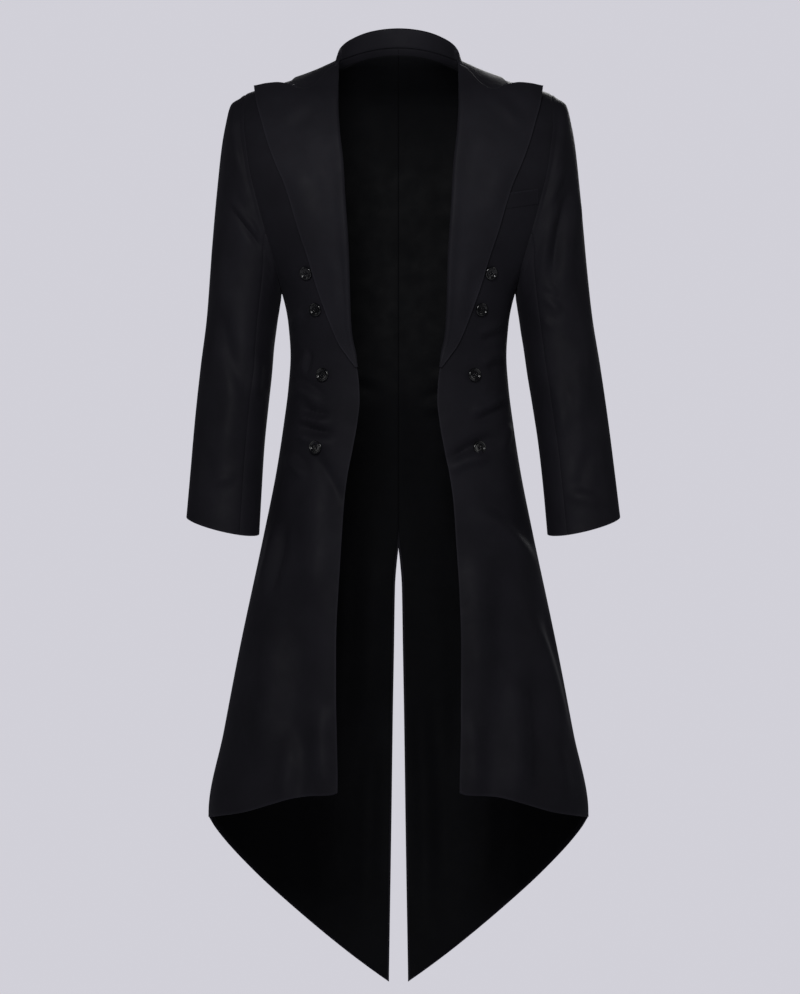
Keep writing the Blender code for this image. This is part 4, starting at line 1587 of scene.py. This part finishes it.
@dataclass
class Buttons:
    """Eight polished coat buttons in two columns, each turned, dished and pierced by four holes."""

    form: CoatForm
    body: Body
    finish: ButtonFinish = ButtonFinish()
    diameter: float = 20.0
    lift: float = 0.9
    hole_ring: float = 2.3
    hole_radius: float = 0.95
    hole_depth: float = 1.6
    turns: int = 64
    thread_radius: float = 0.32
    thread_rings: int = 15
    thread_sides: int = 8
    places: Table = Table(("x", "height"), ((132, -315), (118, -368), (108, -463), (117, -568)))
    section: Table = Table(
        ("station", "radius", "height"),
        (
            (0, 0.0, 2.35), (1, 0.34, 2.25), (2, 0.56, 2.3), (3, 0.66, 2.7), (4, 0.72, 3.5),
            (5, 0.79, 3.95), (6, 0.88, 3.95), (7, 0.96, 3.4), (8, 1.0, 2.5), (9, 0.99, 1.6),
            (10, 0.90, 0.9), (11, 0.74, 0.3), (12, 0.0, 0.0),
        ),
    )

    def grid(self) -> Array:
        """A button lying flat at the origin: a half section carried round in a full turn.

        The section's radius and height are smooth curves through its table. Near the face's
        middle four soft-walled holes go down, each a plateau that falls off steeply.

        Returns:
            Grid of xyz, its rows from the face's middle to the back's.
        """
        steps = stepped([14, 8, 4, 3, 3, 3, 3, 3, 3, 2, 2, 3])
        radius = self.section.read("station", "radius", steps) * self.diameter / 2
        height = self.section.read("station", "height", steps)
        turn = np.linspace(0, 2 * math.pi, self.turns, endpoint=False)
        x, y = np.outer(radius, np.cos(turn)), np.outer(radius, np.sin(turn))
        z = np.repeat(height[:, None], self.turns, axis=1)
        face = ease((4 - steps) / 0.5)[:, None]
        for quarter in range(4):
            angle = math.pi / 4 + quarter * math.pi / 2
            hole_x = self.hole_ring * math.cos(angle)
            hole_y = self.hole_ring * math.sin(angle)
            far = np.hypot(x - hole_x, y - hole_y)
            z = z - face * self.hole_depth * np.exp(-((far / self.hole_radius) ** 6))
        return np.stack([x, y, z], -1)

    def thread(self) -> Array:
        """A crossed stitch's two strands, each an arch from hole to hole, as tubes.

        Returns:
            Array of xyz with axes strand, length and round.
        """
        t = np.linspace(0, 1, self.thread_rings)
        around = np.linspace(0, 2 * math.pi, self.thread_sides, endpoint=False)
        up = np.array([0, 0, 1])
        strands = []
        for number, angle in enumerate((math.pi / 4, 3 * math.pi / 4)):
            way = np.array([math.cos(angle), math.sin(angle), 0.0])
            across = np.array([-way[1], way[0], 0.0])
            rise = 1.4 + (1.5 + 0.35 * number) * np.sin(np.pi * t) ** 0.5
            middle = (2 * t - 1)[:, None] * way * self.hole_ring + rise[:, None] * up
            ring = np.cos(around)[:, None] * across + np.sin(around)[:, None] * up
            strands.append(middle[:, None, :] + self.thread_radius * ring[None])
        return np.array(strands)

    def placed(self, points: Array, place: Array, normal: Array, spin: float) -> Array:
        """Points turned about the button's axis, then set on the coat with that axis outwards."""
        level = unit(np.array([-normal[1], normal[0], 0.0]))
        up = np.cross(normal, level)
        a = math.cos(spin) * level + math.sin(spin) * up
        b = np.cross(normal, a)
        return place + points[..., :1] * a + points[..., 1:2] * b + points[..., 2:] * normal

    @staticmethod
    def closed(rings: Array) -> tuple[Array, list[tuple[int, ...]]]:
        """Vertices and faces of rings that close round, and end in a point at each end.

        Args:
            rings: Grid of xyz whose first and last rows are each a single point.

        Returns:
            The vertices and the faces.
        """
        inner = rings[1:-1]
        count, turns = inner.shape[:2]
        verts = np.concatenate([rings[:1, 0], inner.reshape(-1, 3), rings[-1:, 0]])
        index = 1 + np.arange(count * turns).reshape(count, turns)
        after = np.roll(index, -1, axis=1)
        sides = np.stack([index[:-1], index[1:], after[1:], after[:-1]], -1).reshape(-1, 4)
        first = np.stack([np.zeros(turns, int), index[0], after[0]], -1)
        last = np.stack([np.full(turns, len(verts) - 1), after[-1], index[-1]], -1)
        return verts, [*sides.tolist(), *first.tolist(), *last.tolist()]

    def build(self) -> list[bpy.types.Object]:
        """Makes the eight buttons, each with its thread, and each turned a little differently."""
        made = []
        disc, thread = self.grid(), self.thread()
        cloth = SUITING.build()
        for side in Side:
            for number, spot in enumerate(self.places.records(), 1):
                base = self.form.at(spot["x"], spot["height"], Face.FRONT)
                normal = self.form.outward(base)
                rise = float(self.body.front_rise(base[None], normal[None], side)[0])
                place = base + normal * (self.body.suiting_wall + self.lift + rise)
                place, normal = mirrored(place, side), mirrored(normal, side)
                spin = 0.5 * number + (0.3 if side is Side.LEFT else 0.0)
                verts, faces = self.closed(self.placed(disc, place, normal, spin))
                marks = [0] * len(faces)
                for strand in self.placed(thread, place, normal, spin):
                    first, last = (
                        end.mean(axis=1, keepdims=True).repeat(self.thread_sides, axis=1)
                        for end in (strand[:1], strand[-1:])
                    )
                    more, sides = self.closed(np.concatenate([first, strand, last]))
                    faces += [tuple(i + len(verts) for i in corner) for corner in sides]
                    marks += [1] * len(sides)
                    verts = np.concatenate([verts, more])
                name = f"turned_button_{side.value}_{number}"
                mesh = bpy.data.meshes.new(name)
                mesh.from_pydata(verts * MM, [], faces)
                mesh.materials.append(self.finish.build())
                mesh.materials.append(cloth)
                mesh.polygons.foreach_set("material_index", marks)
                mesh.shade_smooth()
                self.turn_outwards(mesh)
                piece = in_scene(name, mesh)
                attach(piece, "root")
                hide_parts(f"button_{side.value}_{number}")
                made.append(piece)
                LOG.info("%s: %d points", name, len(verts))
        return made

    @staticmethod
    def turn_outwards(mesh: bpy.types.Mesh) -> None:
        """Recalculates the mesh's normals so that every closed shell faces outwards."""
        work = bmesh.new()
        work.from_mesh(mesh)
        bmesh.ops.recalc_face_normals(work, faces=work.faces)
        work.to_mesh(mesh)
        work.free()


# ---------------------------------------------------------------- studio


@dataclass(frozen=True)
class SoftBox:
    """A square studio lamp aimed at a point. Places are in metres."""

    name: str
    place: tuple[float, float, float]
    aim: tuple[float, float, float]
    size: float
    power: float

    def build(self) -> None:
        """Hangs the lamp."""
        lamp = bpy.data.lights.new(self.name, "AREA")
        lamp.shape = "SQUARE"
        lamp.size = self.size
        lamp.energy = self.power
        holder = in_scene(self.name, lamp)
        holder.location = self.place
        way = Vector(self.aim) - Vector(self.place)
        holder.rotation_euler = way.to_track_quat("-Z", "Y").to_euler()


@dataclass
class Studio:
    """A pale studio: floor, surround, soft lamps and a long lens level with the coat's middle."""

    floor_height: float = -1.50
    floor_radius: float = 3.0
    floor_sides: int = 96
    distance: float = 24.0
    view_height: float = 1.4413
    centre: tuple[float, float] = (0.0022, -0.6395)
    sensor: float = 36.0
    far_clip: float = 200.0
    surround: tuple[float, float, float] = (0.640, 0.632, 0.690)
    ambient: float = 0.08
    lamps: tuple[SoftBox, ...] = (
        SoftBox("key", (-0.25, -2.4, 0.45), (0.0, 0.0, -0.25), 0.8, 39.0),
        SoftBox("fill", (0.9, -3.2, 0.0), (0.0, 0.0, -0.4), 1.6, 7.0),
        SoftBox("side_right", (-2.8, -0.9, 0.3), (0.0, 0.0, -0.4), 1.2, 7.0),
        SoftBox("side_left", (2.8, -0.9, 0.3), (0.0, 0.0, -0.4), 1.2, 9.0),
        SoftBox("behind", (0.6, 3.4, 0.9), (0.0, 0.0, -0.4), 1.6, 60.0),
    )

    def floor(self) -> bpy.types.Object:
        """A round floor under the wearer's feet."""
        turn = np.linspace(0, 2 * math.pi, self.floor_sides, endpoint=False)
        rim = self.floor_radius * np.stack([np.cos(turn), np.sin(turn), 0 * turn], -1)
        rim[:, 2] = self.floor_height
        mesh = bpy.data.meshes.new("floor")
        mesh.from_pydata(rim, [], [tuple(range(self.floor_sides))])
        mesh.materials.append(FloorFinish().build())
        floor = in_scene("floor", mesh)
        floor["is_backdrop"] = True
        return floor

    def air(self) -> None:
        """The surround: pale behind the coat, and dimmer as light on it."""
        world = bpy.data.worlds.new("studio")
        world.use_nodes = True
        nodes = Nodes(world.node_tree)
        world.node_tree.nodes.clear()
        out = nodes.add("ShaderNodeOutputWorld")
        seen, light = nodes.add("ShaderNodeBackground"), nodes.add("ShaderNodeBackground")
        seen.inputs["Color"].default_value = (*self.surround, 1.0)
        light.inputs["Color"].default_value = (*self.surround, 1.0)
        light.inputs["Strength"].default_value = self.ambient
        path = nodes.add("ShaderNodeLightPath")
        either = nodes.add("ShaderNodeMixShader")
        nodes.link(path.outputs["Is Camera Ray"], either.inputs["Fac"])
        nodes.link(light.outputs["Background"], either.inputs[1])
        nodes.link(seen.outputs["Background"], either.inputs[2])
        nodes.link(either.outputs["Shader"], out.inputs["Surface"])
        bpy.context.scene.world = world

    def camera(self) -> None:
        """A camera that looks straight at the coat's front from far off."""
        lens = bpy.data.cameras.new("lens")
        lens.sensor_fit = "AUTO"
        lens.sensor_width = self.sensor
        lens.lens = self.sensor / 2 / (self.view_height / 2 / self.distance)
        lens.clip_end = self.far_clip
        lens.dof.use_dof = False
        holder = in_scene("camera", lens)
        holder.location = (self.centre[0], -self.distance, self.centre[1])
        holder.rotation_euler = (math.pi / 2, 0.0, 0.0)
        bpy.context.scene.camera = holder

    def build(self) -> None:
        """Sets up the whole studio with plain colour handling."""
        bpy.context.scene.view_settings.view_transform = "Standard"
        self.floor()
        self.air()
        for lamp in self.lamps:
            lamp.build()
        self.camera()


def main() -> None:
    """Loads the frame, builds every sub-assembly in order and works out both bounding boxes."""
    logging.basicConfig(level=logging.INFO, format="%(name)s: %(message)s")
    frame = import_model()
    solid_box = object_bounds()
    LOG.info("frame: %d nodes", len(frame["nodes"]))
    form = CoatForm()
    body = Body(form)
    lapels = Lapels(form, body)
    made = body.build()
    made += lapels.build()
    made += Collar(form, body, lapels).build()
    made += Sleeves(form, body).build()
    made += Pocket(form).build()
    made += Buttons(form, body).build()
    LOG.info("coat: %d pieces", len(made))
    Studio().build()
    boxes = [[list(corner) for corner in box] for box in (solid_box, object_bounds())]


if __name__ == "__main__":
    main()
